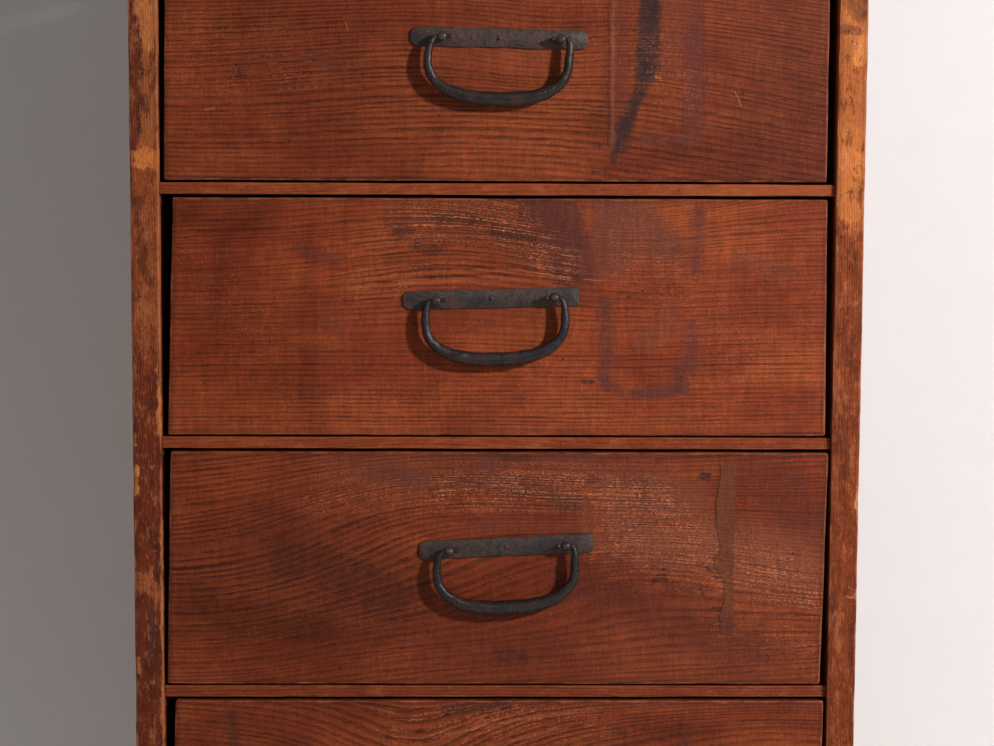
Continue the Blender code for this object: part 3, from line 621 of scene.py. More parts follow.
def front_material(level):
    """The stained, scuffed and marked softwood of one drawer front."""
    look = LOOKS[level]
    s = Shading(f"front_wood_{level + 1}")
    place = s.place()
    x, y, world_z = s.split(place)
    z = s.less(world_z, level_z(level))
    deep = s.less(y, DRAWER_FACE_Y)
    flat = s.join(x, 0.0, z)
    seed = look["seed"]

    lift = s.times(x, look["slope"])
    for given in look["hills"]:
        lift = s.add(lift, hill(s, x, z, *(value * MM for value in given)))
    late, crest, luck, fibre, threads = softwood(s, x, z, deep, lift, look["ring"] * MM, seed)

    spread = s.vector("ADD", place, (seed, seed * 0.7, seed * 1.9))
    patch = s.ease(s.stretched(spread, (10, 20, 20), 4.0, 0.6), 0.38, 0.64)
    tone = s.stretched(spread, (30, 80, 80), 4.0, 0.65)
    grit = s.stretched(spread, (640, 1000, 1000), 3.0, 0.75)
    offset = s.jitter(spread, 130.0, 0.65)
    bent = s.vector("ADD", flat, s.vector("MULTIPLY", offset, (0.009, 0.0, 0.009)))
    wavy = s.vector("ADD", flat, s.vector("MULTIPLY", offset, (0.003, 0.0, 0.003)))

    # Growth rings in broad patches of redder and of more orange stain. Some places show them boldly.
    bold = zones(s, bent, look["bold"])
    early = s.mix(patch, RED_EARLY, ORANGE_EARLY)
    early = s.mix(s.times(bold, 0.5), early, GOLD)
    dark = s.add(look["lines"], s.times(luck, 0.34), s.times(bold, 0.42))
    colour = s.mix(s.math("MULTIPLY", late, dark, clamp=True), early, RED_LATE)
    colour = s.shade(colour, s.times(s.add(0.62, s.times(tone, 0.76)), look["tone"]))

    # Stains, with some painted shade, shadow and highlight among them: ragged clouds first, then
    # streaks. Broad streaks are blotchy, thin ones speckled, and those that only darken the wood are even.
    patchy = s.stretched(spread, (85, 190, 190), 5.0, 0.72)
    scatter = s.times(s.less(patchy, 0.5), 2.6)
    speckled = s.ease(grit, 0.66, 0.34, 0.45, 1.0)
    mottled = s.ease(patchy, 0.62, 0.40, 0.60, 1.0)
    for shade, strength, width, soft, *path in look["clouds"]:
        mask = zone(s, bent, width, soft, path)
        ragged = s.times(s.ease(s.add(mask, scatter), 0.28, 0.90), s.ease(mask, 0.0, 0.25))
        colour = lay_stain_or_painted_light(s, s.times(ragged, strength), colour, shade)
        bent = s.after(bent, mask)
    for shade, strength, width, soft, *path in look["streaks"]:
        mask = zone(s, bent if width > FINE_WIDTH else wavy, width, soft, path)
        broken = mottled if width > BROAD_WIDTH else speckled
        if shade in (SHADE, PAINTED_LEFT_SHADE):
            broken = 1.0
        colour = lay_stain_or_painted_light(s, s.times(mask, broken, strength), colour, shade)
        bent = s.after(bent, mask)
        wavy = s.after(wavy, mask)
    raised, bare_here = 0.0, 1.0
    if level == PASTE_LEVEL:
        paste, paste_shadow = paste_mask(s, wavy)
        # Painted shadow along the strip's ragged left edge, in the dirt colour.
        colour = s.mix(s.times(paste_shadow, 0.85), colour, DIRT)
        smear = s.mix(s.ease(patchy, 0.44, 0.70, 0.0, 0.5), PASTE, MURK)
        smear = s.mix(s.ease(z, 0.052, 0.040, 0.0, 0.75), smear, MURK)
        colour = s.mix(s.times(paste, 0.96), colour, smear)
        raised = s.times(paste, 0.6)
        bare_here = s.less(1.0, s.times(paste, 0.8))
    speck = s.cells(spread, 75.0)
    speck = s.times(s.ease(speck, 0.10, 0.05), s.ease(s.noise(spread, 60.0), 0.54, 0.60), 0.75)
    colour = s.mix(speck, colour, DIRT)

    # Raised grain rubbed light along fine lines, dirt between them, and small bare flecks.
    worn = s.times(zones(s, bent, look["rubbed"]), bare_here)
    lines = s.ease(threads, 0.46, 0.60)
    light = s.times(lines, s.ease(grit, 0.40, 0.58), s.ease(patchy, 0.34, 0.56))
    colour = s.mix(s.times(light, s.add(s.times(worn, 0.70), 0.10)), colour, RUBBED)
    between = s.times(s.ease(threads, 0.44, 0.30), s.ease(grit, 0.60, 0.42), worn, 0.55)
    colour = s.mix(between, colour, DIRT)
    fleck = s.stretched(spread, (620, 900, 900), 2.0, 0.6)
    crowd = s.ease(s.noise(spread, 26.0, 3.0), 0.42, 0.64, 0.12, 0.55)
    crowd = s.times(s.ease(fleck, 0.61, 0.72), s.add(crowd, s.times(worn, 0.5)))
    colour = s.shade(colour, s.add(1.0, s.times(crowd, 1.2)))

    # Fibres, grit, and the faint upright ticks and ripples left by scraping across the grain.
    ticks = s.stretched(spread, (850, 150, 150), 2.0, 0.6)
    ripple = s.stretched(spread, (300, 24, 34), 3.0, 0.65)
    texture = s.times(s.add(0.74, s.times(fibre, 0.52)), s.add(0.40, s.times(grit, 1.20)))
    texture = s.times(texture, s.add(0.72, s.times(ticks, 0.56)), s.add(0.66, s.times(ripple, 0.68)))
    colour = s.shade(colour, texture)

    # Edges rubbed bare, with dirt just beside them.
    edge = s.attribute("edge")
    rub = s.stretched(spread, (110, 160, 110), 3.0, 0.6)
    colour = s.mix(s.times(s.ease(edge, 0.05, 0.45), 0.30), colour, DIRT)
    bare = s.times(s.ease(s.add(edge, s.times(s.less(rub, 0.5), 1.1)), 0.72, 1.0), 0.5)
    colour = s.mix(bare, colour, RUBBED)

    relief = s.add(s.times(crest, 0.4), s.times(fibre, 0.5), s.times(grit, 0.5), raised)
    rough = s.add(0.42, s.times(patch, 0.08), s.times(grit, 0.16))
    return finish_wood(s, colour, relief, rough)


def board_material(name, grain, seed, early, late_tint, ring=0.003, worn=0.0, rough=0.5, edge_on=1.0,
                   lines=0.45, marks=(), blotched=0.0):
    """Wood with its grain along x, y or z. Marks are given on the chest's front, in millimetres."""
    s = Shading(name)
    place = s.place()
    x, y, z = s.split(place)
    along, across, deep = {"x": (x, z, y), "y": (y, z, x), "z": (z, x, y)}[grain]
    spread = s.vector("ADD", place, (seed, seed * 0.7, seed * 1.9))
    sway = s.stretched(s.join(along, across, deep), (3.2, 9, 9), 1.0)
    lift = s.times(s.less(sway, 0.5), 0.03)
    late, crest, luck, fibre, threads = softwood(s, along, across, deep, lift, ring, seed)
    patch = s.noise(spread, 11.0, 3.0, 0.6)
    tone = s.noise(spread, 42.0, 4.0, 0.65)
    grit = s.noise(spread, 760.0, 3.0, 0.75)
    rub = s.noise(spread, 70.0, 4.0, 0.68)
    blush = 0.35 if blotched else 0.10
    if blotched:
        # Front edges are blotched and rubbed. The broad faces behind them are calmer and show more grain.
        broad = s.ease(y, FRONT_Y + 0.008, FRONT_Y + 0.022)
        lines = s.add(lines, s.times(broad, max(BROAD_FACE_LINES - lines, 0.0)))
        blotched = s.times(s.less(1.0, s.times(broad, 0.7)), blotched)
    warm = s.mix(s.ease(patch, 0.36, 0.66, 0.0, blush), early, ORANGE_EARLY)
    colour = s.mix(s.times(late, s.add(lines, s.times(luck, 0.40))), warm, late_tint)
    colour = s.shade(colour, s.add(0.68, s.times(tone, 0.64)))
    stretch = tuple(60.0 if axis == grain else 170.0 for axis in "xyz")
    patchy = s.stretched(spread, stretch, 5.0, 0.72)
    cracks = s.stretched(spread, tuple(value * 4.5 for value in stretch), 3.0, 0.7)
    scuff = s.times(s.ease(s.add(rub, s.times(s.less(grit, 0.5), 0.5)), 0.60, 0.76), worn)
    colour = s.mix(scuff, colour, RUBBED)
    if marks:
        scatter = s.times(s.less(patchy, 0.5), 2.2)
        at_front = s.ease(y, FRONT_Y + 0.0080, FRONT_Y + 0.0055)
        offset = s.jitter(spread, 150.0, 0.7)
        bent = s.vector("ADD", s.join(x, 0.0, z), s.vector("MULTIPLY", offset, (0.008, 0.0, 0.012)))
        for shade, strength, width, soft, *path in marks:
            mask = zone(s, bent, width, soft, path)
            if soft > RAGGED_SOFTNESS:
                mask = s.times(s.ease(s.add(mask, scatter), 0.22, 0.86), s.ease(mask, 0.0, 0.3))
            colour = lay_stain_or_painted_light(s, s.times(mask, at_front, strength), colour, shade)
            bent = s.after(bent, mask)
    colour = s.mix(s.times(s.ease(patchy, 0.48, 0.37), blotched, 0.85), colour, late_tint)
    colour = s.mix(s.times(s.ease(patchy, 0.52, 0.64), blotched, 0.7), colour, RUBBED)
    speck = s.times(s.ease(s.noise(spread, 330.0, 2.0), 0.66, 0.74), 0.7)
    colour = s.mix(s.most(speck, s.times(s.ease(cracks, 0.60, 0.68), blotched)), colour, DIRT)
    colour = s.mix(s.times(s.ease(cracks, 0.42, 0.33), blotched, 0.45), colour, BARE_WOOD)
    thread = s.add(0.84, s.times(threads, 0.32))
    texture = s.times(s.add(0.76, s.times(fibre, 0.48)), s.add(0.50, s.times(grit, 1.0)), thread)
    colour = s.shade(colour, texture)
    edge = s.attribute("edge")
    colour = s.mix(s.times(s.ease(edge, 0.05, 0.45), 0.25, edge_on), colour, DIRT)
    bare = s.ease(s.add(edge, s.times(s.less(rub, 0.5), 1.4)), 0.66, 0.98)
    colour = s.mix(s.times(bare, 0.65, edge_on), colour, RUBBED)
    relief = s.add(s.times(crest, 0.4), s.times(fibre, 0.5), s.times(grit, 0.4))
    return finish_wood(s, colour, relief, s.add(rough, s.times(grit, 0.15)))


# Boards.


def linked(name, data):
    """A new object in the scene."""
    item = bpy.data.objects.new(name, data)
    bpy.context.scene.collection.objects.link(item)
    return item


def meshed(name, points, faces, material):
    """A new object made of points and faces."""
    mesh = bpy.data.meshes.new(name)
    mesh.from_pydata([tuple(p) for p in points], [], [tuple(f) for f in faces])
    mesh.materials.append(material)
    return linked(name, mesh)


def finished(name, points, faces, material, body, replaced, angle=45):
    """A piece made of points and faces, riding on a body in place of CAD nodes."""
    piece = meshed(name, points, faces, material)
    piece.data.shade_smooth()
    piece.data.set_sharp_from_angle(angle=math.radians(angle))
    bpy.context.view_layer.update()
    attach(piece, body)
    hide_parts(*replaced)
    return piece


def ripple(points, size, seed, layers=7):
    """A smooth random value, about -1 to 1, at each point, with swells of about this size."""
    dice = np.random.default_rng(seed)
    total = np.zeros(len(points))
    for _ in range(layers):
        way = dice.normal(size=3)
        way *= 2 * math.pi / size * dice.uniform(0.5, 1.5) / np.linalg.norm(way)
        total += np.sin(points @ way + dice.uniform(0, 2 * math.pi))
    return total * 1.2 / layers**0.5 / 1.5


def grid_line(low, high, fine, margin, coarse):
    """Places from low to high: fine steps within a margin of each end, and coarse ones between."""
    near = np.arange(0, margin, fine)
    count = max(int(round((high - low - 2 * margin) / coarse)), 1)
    middle = np.linspace(low + margin, high - margin, count + 1)
    return np.concatenate((low + near, middle, (high - near)[::-1]))


def shell(lines):
    """The points and outward faces of a closed box that carries these grid lines."""
    shape = tuple(len(line) for line in lines)
    outside = np.zeros(shape, bool)
    outside[[0, -1]] = True
    outside[:, [0, -1]] = True
    outside[:, :, [0, -1]] = True
    number = np.full(shape, -1)
    number[outside] = np.arange(outside.sum())
    points = np.stack(np.meshgrid(*lines, indexing="ij"), -1)[outside]
    faces = []
    for axis in range(3):
        for end in (0, -1):
            sheet = np.take(number, end, axis)
            corners = (sheet[:-1, :-1], sheet[1:, :-1], sheet[1:, 1:], sheet[:-1, 1:])
            quads = np.stack(corners, -1).reshape(-1, 4)
            backwards = (end == 0) != (axis == 1)
            faces.append(quads[:, ::-1] if backwards else quads)
    return points, np.concatenate(faces)


def worn_points(points, low, high, seed, arris=0.0011, wear=0.0006, swell=0.00025, dents=(), butt=()):
    """Rounds a box's edges unevenly, dishes its faces a little and presses dents into it.

    A dent has a place, a reach and a depth. The ends on the butt axes meet other boards and stay
    square. It also gives how near each point is to an edge, from 0 to 1.
    """
    low, high = np.array(low), np.array(high)
    radius = arris + wear * ripple(points, 0.035, seed) + wear * 0.6 * ripple(points, 0.009, seed + 1)
    radius = np.clip(radius, 0.0004, 0.0035)[:, None]
    for x, y, z, size, depth in dents:
        far = np.linalg.norm(points - np.array((x, y, z)), axis=1)
        press = np.clip(1 - (far / size) ** 2, 0, 1) ** 2
        radius = radius + (press * depth * 2.2)[:, None]
    core = np.clip(points, low + radius, high - radius)
    gap = np.minimum(points - low, high - points)
    for axis in butt:
        core[:, axis] = points[:, axis]
        gap[:, axis] = 1.0
    away = points - core
    length = np.linalg.norm(away, axis=1)[:, None]
    outward = away / np.maximum(length, 1e-9)
    shaped = core + outward * radius
    dish = swell * (0.5 + 0.5 * ripple(points, 0.07, seed + 2))
    shaped = shaped - outward * np.clip(dish, 0, None)[:, None]
    gap = np.sort(gap, axis=1)
    edge = np.clip(1 - gap[:, 1] / 0.0042, 0, 1)
    return shaped, edge


def cut_boxes(piece, boxes):
    """Cuts plain boxes out of a piece, for good."""
    bm = bmesh.new()
    for low, high in boxes:
        size = [high[i] - low[i] for i in range(3)]
        centre = [(high[i] + low[i]) / 2 for i in range(3)]
        place = Matrix.Translation(centre) @ Matrix.Diagonal((*size, 1.0))
        bmesh.ops.create_cube(bm, size=1.0, matrix=place)
    mesh = bpy.data.meshes.new("cutter")
    bm.to_mesh(mesh)
    bm.free()
    cutter = linked("cutter", mesh)
    cut = piece.modifiers.new("cut", "BOOLEAN")
    cut.operation = "DIFFERENCE"
    cut.solver = "EXACT"
    cut.object = cutter
    bpy.context.view_layer.update()
    graph = bpy.context.evaluated_depsgraph_get()
    result = bpy.data.meshes.new_from_object(piece.evaluated_get(graph))
    piece.modifiers.clear()
    old = piece.data
    piece.data = result
    bpy.data.meshes.remove(old)
    bpy.data.objects.remove(cutter, do_unlink=True)
    bpy.data.meshes.remove(mesh)
    result.shade_smooth()
    result.set_sharp_from_angle(angle=math.radians(45))


def mark_edges(piece, edge):
    """Keeps how near each point is to an edge, for the wood's wear."""
    store = piece.data.attributes.new("edge", "FLOAT", "POINT")
    store.data.foreach_set("value", edge.astype(np.float32))


def worn_board(name, low, high, steps, seed, material, body, slot, replaced, cuts=(), lean=None, **wear):
    """A board with soft, uneven edges between its low and high corners."""
    lines = [grid_line(low[i], high[i], *steps[i]) for i in range(3)]
    points, faces = shell(lines)
    points, edge = worn_points(points, low, high, seed, **wear)
    if lean is not None:
        points = lean(points)
    piece = finished(name, points, faces, material, body, replaced)
    mark_edges(piece, edge)
    if cuts:
        cut_boxes(piece, cuts)
    return piece


def front_edges(level):
    """The leaning left and right edges of a drawer front, as functions of height above its level."""
    left_top, left_low, right_top, right_low = SIDE_GAPS[level]

    def left(z):
        share = (z - FRONT_RAISE) / FRONT_HEIGHT
        return -OPENING_HALF + left_low + (left_top - left_low) * share

    def right(z):
        share = (z - FRONT_RAISE) / FRONT_HEIGHT
        return OPENING_HALF - right_low - (right_top - right_low) * share

    return left, right


def give(node_name, material):
    """Gives a CAD node a new material."""
    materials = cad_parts[node_name].data.materials
    materials.clear()
    materials.append(material)


def make_front(level):
    left, right = front_edges(level)
    base = level_z(level)
    low_z, high_z = base + FRONT_RAISE, base + FRONT_RAISE + FRONT_HEIGHT
    middle = FRONT_RAISE + FRONT_HEIGHT / 2
    x_low, x_high = left(middle), right(middle)

    def lean(points):
        """The points moved sideways, so that the board's ends follow the front's leaning edges."""
        share = (points[:, 0] - x_low) / (x_high - x_low)
        height = points[:, 2] - base
        moved = points.copy()
        moved[:, 0] = left(height) * (1 - share) + right(height) * share
        return moved

    lap_y = DRAWER_FACE_Y + FRONT_THICKNESS - SIDE_LAP - FIT
    cuts = []
    for line, inward in ((left, 1), (right, -1)):
        reach = [line(FRONT_RAISE), line(FRONT_RAISE + FRONT_HEIGHT)]
        edge = (max(reach) if inward > 0 else min(reach)) + inward * (DRAWER_SIDE_THICKNESS + FIT)
        far = edge - inward * 0.03
        low = (min(edge, far), lap_y, low_z - 0.01)
        high = (max(edge, far), REAR_Y, high_z + 0.01)
        cuts.append((low, high))
    worn_board(
        f"worn_front_{level + 1}",
        (x_low, DRAWER_FACE_Y, low_z),
        (x_high, DRAWER_FACE_Y + FRONT_THICKNESS, high_z),
        ((0.0006, 0.006, 0.005), (0.0006, 0.003, 0.003), (0.0006, 0.006, 0.0045)),
        40 + level, front_material(level),
        f"drawer_{level + 1}", "drawer_front_wood", (f"drawer_{level + 1}_front",),
        cuts=cuts, lean=lean, arris=0.0014, wear=0.0005,
    )


def make_carcass():
    tall = TOP_UNDERSIDE - FIT
    woods = (
        (-1, "left", tint(106, 43, 21), tint(58, 25, 14), LEFT_MARKS),
        (1, "right", tint(132, 60, 29), tint(74, 33, 17), RIGHT_MARKS),
    )
    for side, word, early, late, marks in woods:
        inner, outer = side * OPENING_HALF, side * CHEST_WIDTH / 2
        material = board_material(
            f"side_wood_{word}", "z", 31.0 + side, early, late, 0.0017, 0.25,
            lines=0.10, marks=marks, blotched=0.75,
        )
        rebate = sorted((inner - side * 0.01, inner + side * BACK_LAP))
        worn_board(
            f"worn_side_{word}",
            (min(inner, outer), FRONT_Y, 0.0),
            (max(inner, outer), REAR_Y, tall),
            ((0.0007, 0.004, 0.002), (0.0007, 0.005, 0.016), (0.001, 0.004, 0.004)),
            60 + side, material, "carcass", "carcass_wood", (f"side_board_{word}",),
            cuts=[((rebate[0], BACK_INNER_Y - FIT, -0.01), (rebate[1], REAR_Y + 0.01, tall + 0.01))],
            wear=0.0007, dents=[(outer, FRONT_Y, *dent) for way, *dent in SIDE_DENTS if way == side],
        )
    wood = board_material("top_wood", "x", 43.0, tint(122, 54, 27), tint(64, 28, 15), 0.0030, 0.4,
                          lines=0.35, blotched=0.5)
    worn_board(
        "worn_top",
        (-CHEST_WIDTH / 2, FRONT_Y, TOP_UNDERSIDE),
        (CHEST_WIDTH / 2, REAR_Y, CHEST_HEIGHT),
        ((0.0007, 0.005, 0.008), (0.0007, 0.005, 0.010), (0.0007, 0.004, 0.003)),
        71, wood, "carcass", "carcass_wood", ("top_board",), wear=0.0007,
    )
    shelf_end = OPENING_HALF - 0.0002
    front, rear = FRONT_Y + DIVIDER_SETBACK, BACK_INNER_Y - 2 * FIT
    shelf = board_material("divider_wood", "x", 52.0, tint(140, 62, 30), tint(92, 38, 19), 0.0024, 0.3,
                           edge_on=0.4, lines=0.3, marks=DIVIDER_MARKS, blotched=0.4)
    for index in range(DRAWERS):
        if index == DRAWERS - 1:
            name, node, top, thick = "worn_floor", "floor_board", FLOOR_THICKNESS, FLOOR_THICKNESS
        else:
            name, node = f"worn_divider_{index + 1}", f"divider_{index + 1}"
            top, thick = level_z(index), DIVIDER_THICKNESS
        worn_board(
            name, (-shelf_end, front, top - thick), (shelf_end, rear, top),
            ((0.002, 0.002, 0.006), (0.0006, 0.003, 0.03), (0.0006, 0.0018, 0.003)),
            80 + index, shelf, "carcass", "carcass_wood", (node,), arris=0.0008, wear=0.0003, butt=(0,),
        )
    back = board_material("back_wood", "z", 66.0, tint(122, 84, 55), tint(84, 56, 37), 0.0042, 0.2, 0.6,
                          lines=0.25)
    for index in (1, 2):
        give(f"back_board_{index}", back)


def make_drawer_boxes():
    pale, dark = tint(150, 106, 68), tint(112, 74, 46)
    sides = board_material("drawer_side_wood", "y", 74.0, pale, dark, 0.0034, 0.2, 0.6)
    flat = board_material("drawer_flat_wood", "x", 81.0, pale, dark, 0.0040, 0.2, 0.6)
    boards = {"side_left": sides, "side_right": sides, "back": flat, "bottom": flat}
    for level in range(DRAWERS):
        for word, material in boards.items():
            give(f"drawer_{level + 1}_{word}", material)


# Iron pulls.


def iron_material(name, colour, seed, rough, rust):
    """Hand-forged iron: dark, a little brown, hammered and pitted, and brighter where it is rubbed."""
    s = Shading(name)
    place = s.vector("ADD", s.place(), (seed, seed, seed))
    broad = s.noise(place, 90.0, 3.0, 0.6)
    fine = s.noise(place, 700.0, 4.0, 0.7)
    pit = s.noise(place, 1900.0, 2.0, 0.6)
    brown = s.mix(s.ease(broad, 0.48, 0.60, 0.0, rust), colour, tint(88, 60, 49))
    dull = s.mix(s.ease(s.noise(place, 45.0, 3.0, 0.6), 0.50, 0.38, 0.0, 0.6), brown, tint(40, 37, 42))
    dark = s.mix(s.ease(fine, 0.54, 0.40, 0.0, 0.6), dull, tint(30, 28, 30))
    pale = s.mix(s.ease(pit, 0.64, 0.76, 0.0, 0.40), dark, tint(112, 100, 94))
    rough = s.add(rough, s.times(s.less(fine, 0.5), 0.5))
    hammer = s.cells(place, 260.0, "SMOOTH_F1")
    height = s.add(s.times(hammer, 0.5), s.times(fine, 0.6), s.times(pit, 0.25))
    return s.surface({"Base Color": pale, "Metallic": 0.35, "Specular IOR Level": 0.3, "Roughness": rough,
                      "Normal": s.bump(height, 0.00045)})


def pull_frame(level):
    """The matrix that takes a pull's own coordinates, x along its hinge axis, to the chest's."""
    offset, depth, tilt, _ = HANDLE_PLACES[level]
    z = level_z(level) + FRONT_RAISE + FRONT_HEIGHT - depth
    turn = Matrix.Rotation(-math.radians(tilt), 4, "Y")
    return Matrix.Translation((offset, DRAWER_FACE_Y - PIVOT_STANDOFF, z)) @ turn


def placed(matrix, points):
    """The points moved by a matrix."""
    grid = np.array(matrix)
    return np.asarray(points) @ grid[:3, :3].T + grid[:3, 3]


def forged(name, level, form, material, body, part, shift=0.0, angle=45):
    """An iron piece, given in its pull's own coordinates, in place of the CAD node of that part."""
    points, faces = form
    points = placed(pull_frame(level) @ Matrix.Translation((shift, 0, 0)), points)
    finished(name, points, faces, material, body, (f"pull_{level + 1}_{part}",), angle)


def skin(rows, count, backwards=False):
    """The faces of a closed form made of rings of points. Backwards turns each face over."""
    faces = []
    for start in range(0, (rows - 1) * count, count):
        for j in range(count):
            a, b = start + j, start + (j + 1) % count
            faces.append((a, b, b + count, a + count))
    faces.append(tuple(range(count - 1, -1, -1)))
    faces.append(tuple((rows - 1) * count + j for j in range(count)))
    return [face[:1] + face[:0:-1] for face in faces] if backwards else faces


def tube(path, section):
    """A bar along a path of points. section(i, angle) gives the radius at point i."""
    path = np.asarray(path, float)
    count = 24
    ways = np.gradient(path, axis=0)
    ways /= np.linalg.norm(ways, axis=1)[:, None]
    side = np.array((0.0, 1.0, 0.0))
    points = []
    for i, (centre, way) in enumerate(zip(path, ways)):
        across = np.cross(way, side)
        across /= np.linalg.norm(across)
        for angle in np.arange(count) * 2 * math.pi / count:
            reach = section(i, angle)
            points.append(centre + reach * (math.cos(angle) * across + math.sin(angle) * side))
    return points, skin(len(path), count)


def bail_half_path():
    """Points (x, z, radius) of the bail's right half, from the tip of its pin to its middle."""
    post = POST_SPACING / 2
    pin_end = post + EYE_WIDTH / 2 + FIT
    tip = post - PIN_REACH
    points = [(tip, 0.0, PIN_RADIUS * 0.3)]
    knob = ((0.02, 0.7), (0.06, 1.05), (0.13, 1.25), (0.24, 1.28), (0.34, 1.12), (0.46, 1.0), (0.7, 1.0))
    for share, radius in knob:
        points.append((tip + PIN_REACH * share, 0.0, PIN_RADIUS * radius))
    points.append((post, 0.0, PIN_RADIUS))
    bend = (
        (pin_end, 0.0),
        (pin_end + (BAIL_HALF_WIDTH - pin_end) * 0.75, 0.0),
        (BAIL_HALF_WIDTH, -BAIL_SHOULDER * 0.4),
        (BAIL_HALF_WIDTH, -BAIL_SHOULDER),
    )
    shoulder_radius = (PIN_RADIUS + BAIL_RADIUS) * 0.46
    steps = 16
    for step in range(steps):
        t = step / steps
        weights = ((1 - t) ** 3, 3 * t * (1 - t) ** 2, 3 * t * t * (1 - t), t**3)
        x = sum(w * p[0] for w, p in zip(weights, bend))
        z = sum(w * p[1] for w, p in zip(weights, bend))
        points.append((x, z, PIN_RADIUS + (shoulder_radius - PIN_RADIUS) * t))
    power = 2 / BAIL_SQUARENESS
    depth = BAIL_DROP - BAIL_SHOULDER
    steps = 30
    for step in range(steps + 1):
        angle = math.radians(90) * step / steps
        x = BAIL_HALF_WIDTH * math.cos(angle) ** power if step < steps else 0.0
        z = -BAIL_SHOULDER - depth * math.sin(angle) ** power
        swell = math.sin(angle) ** 2
        points.append((x, z, shoulder_radius + (BAIL_RADIUS - shoulder_radius) * swell))
    return points


def make_bail(level, material):
    half = bail_half_path()
    path = [(-x, z, r) for x, z, r in half] + half[-2::-1]
    phases = np.random.default_rng(300 + level).uniform(0, 2 * math.pi, 6)
    run = np.concatenate(([0], np.cumsum([math.dist(a[:2], b[:2]) for a, b in zip(path, path[1:])])))
    drift = BAIL_DRIFTS[level]

    def section(i, angle):
        """The radius, hammered where the bar is free of the eyes."""
        _, z, radius = path[i]
        free = min(max((-z - 0.004) / 0.01, 0), 1)
        hammer = 0.035 * math.sin(4 * angle + phases[0] + 22 * run[i])
        hammer += 0.030 * math.sin(run[i] * 330 + phases[1] + math.cos(angle + phases[2]))
        hammer += 0.022 * math.sin(run[i] * 610 + phases[3] + 2 * math.sin(angle + phases[4]))
        return radius * (1 + free * (hammer - 0.06 * (radius / BAIL_RADIUS) ** 2))

    line = [(x + drift * min(max(-z / 0.012, 0), 1), 0.0, z) for x, z, _ in path]
    forged(f"forged_bail_{level + 1}", level, tube(line, section), material, f"bail_{level + 1}", "bail")


def ring_points():
    """The eye of a post: a stout, slightly uneven ring whose hole runs along x."""
    hole = PIN_RADIUS + FIT
    middle = hole + EYE_WALL / 2
    around, over = 36, 18
    points, faces = [], []
    for i in range(around):
        turn = 2 * math.pi * i / around
        for j in range(over):
            lean = 2 * math.pi * j / over
            wall = EYE_WALL / 2 * (1 - 0.05 * (1 + math.sin(3 * turn + 1.0)) * (math.cos(lean) > 0))
            radius = middle + wall * math.cos(lean)
            x = EYE_WIDTH / 2 * math.sin(lean)
            points.append((x, radius * math.cos(turn), radius * math.sin(turn)))
            a, b = i * over + j, i * over + (j + 1) % over
            c, d = ((i + 1) % around) * over + (j + 1) % over, ((i + 1) % around) * over + j
            faces.append((a, b, c, d))
    return points, faces


def join_parts(parts):
    points, faces = [], []
    for more, sheets in parts:
        start = len(points)
        points.extend(tuple(p) for p in more)
        faces.extend(tuple(start + i for i in face) for face in sheets)
    return points, faces


def rod_along_y(start, end, radii):
    """A turned rod along y, with its radius given at even steps."""
    count = 20
    points = []
    for y, radius in zip(np.linspace(start, end, len(radii)), radii):
        for j in range(count):
            angle = 2 * math.pi * j / count
            points.append((radius * math.cos(angle), y, radius * math.sin(angle)))
    return points, skin(len(radii), count, backwards=True)


def leg(path, radii):
    """One bent leg of a post, behind the drawer front, running up or down."""
    count = 14
    points = []
    for (x, y, z), radius in zip(path, radii):
        for j in range(count):
            angle = 2 * math.pi * j / count
            points.append((x + radius * math.cos(angle), y + radius * 0.9 * math.sin(angle), z))
    return points, skin(len(path), count, backwards=path[-1][2] < path[0][2])


def make_posts(level, material):
    leg_y = PIVOT_STANDOFF + FRONT_THICKNESS + FIT + LEG_RADIUS
    start = PIN_RADIUS + FIT + EYE_WALL * 0.5
    shank = [SHANK_RADIUS * share for share in (0.98, 1, 1, 1, 1, 0.8)]
    parts = [ring_points(), rod_along_y(start, leg_y + LEG_RADIUS * 0.8, shank)]
    run = np.linspace(0, 1, 8)
    for way in (-1, 1):
        path = [(0.0, leg_y - 0.0002 * (1 - t) ** 2, way * t * LEG_LENGTH) for t in run]
        parts.append(leg(path, [LEG_RADIUS * (1 - 0.6 * t) for t in run]))
    post = join_parts(parts)
    for side, word in ((-1, "left"), (1, "right")):
        name = f"forged_post_{level + 1}_{word}"
        forged(name, level, post, material, f"drawer_{level + 1}", f"post_{word}", side * POST_SPACING / 2)


# How each plate's left and right ends are cut: clipped or rounded by this much, and how bluntly.
PLATE_ENDS = (
    ((0.0048, 2.0), (0.0052, 2.0)),
    ((0.0030, 1.2), (0.0007, 2.0)),
    ((0.0036, 2.0), (0.0026, 2.0)),
    ((0.0034, 1.6), (0.0024, 2.0)),
    ((0.0040, 2.0), (0.0030, 1.4)),
)


def plate_outline(level):
    """Points (x, z) round a plate, anticlockwise seen from the front."""
    half, high = PLATE_LENGTH / 2, PLATE_HEIGHT / 2
    (left, left_power), (right, right_power) = PLATE_ENDS[level]
    corners = (
        (half, high, right, right_power, 0),
        (-half, high, left, left_power, 1),
        (-half, -high, left, left_power, 2),
        (half, -high, right, right_power, 3),
    )
    outline = []
    for x, z, size, power, quarter in corners:
        sign_x, sign_z = math.copysign(1, x), math.copysign(1, z)
        steps = 8
        for step in range(steps + 1):
            turn = step / steps if quarter in (0, 2) else 1 - step / steps
            angle = math.radians(90) * turn
            reach_x = size * math.cos(angle) ** (2 / power)
            reach_z = size * math.sin(angle) ** (2 / power)
            outline.append((x - sign_x * (size - reach_x), z - sign_z * (size - reach_z)))
    dense = []
    for (x0, z0), (x1, z1) in zip(outline, outline[1:] + outline[:1]):
        pieces = max(int(math.hypot(x1 - x0, z1 - z0) / 0.0016), 1)
        for step in range(pieces):
            share = step / pieces
            dense.append((x0 + (x1 - x0) * share, z0 + (z1 - z0) * share))
    return dense


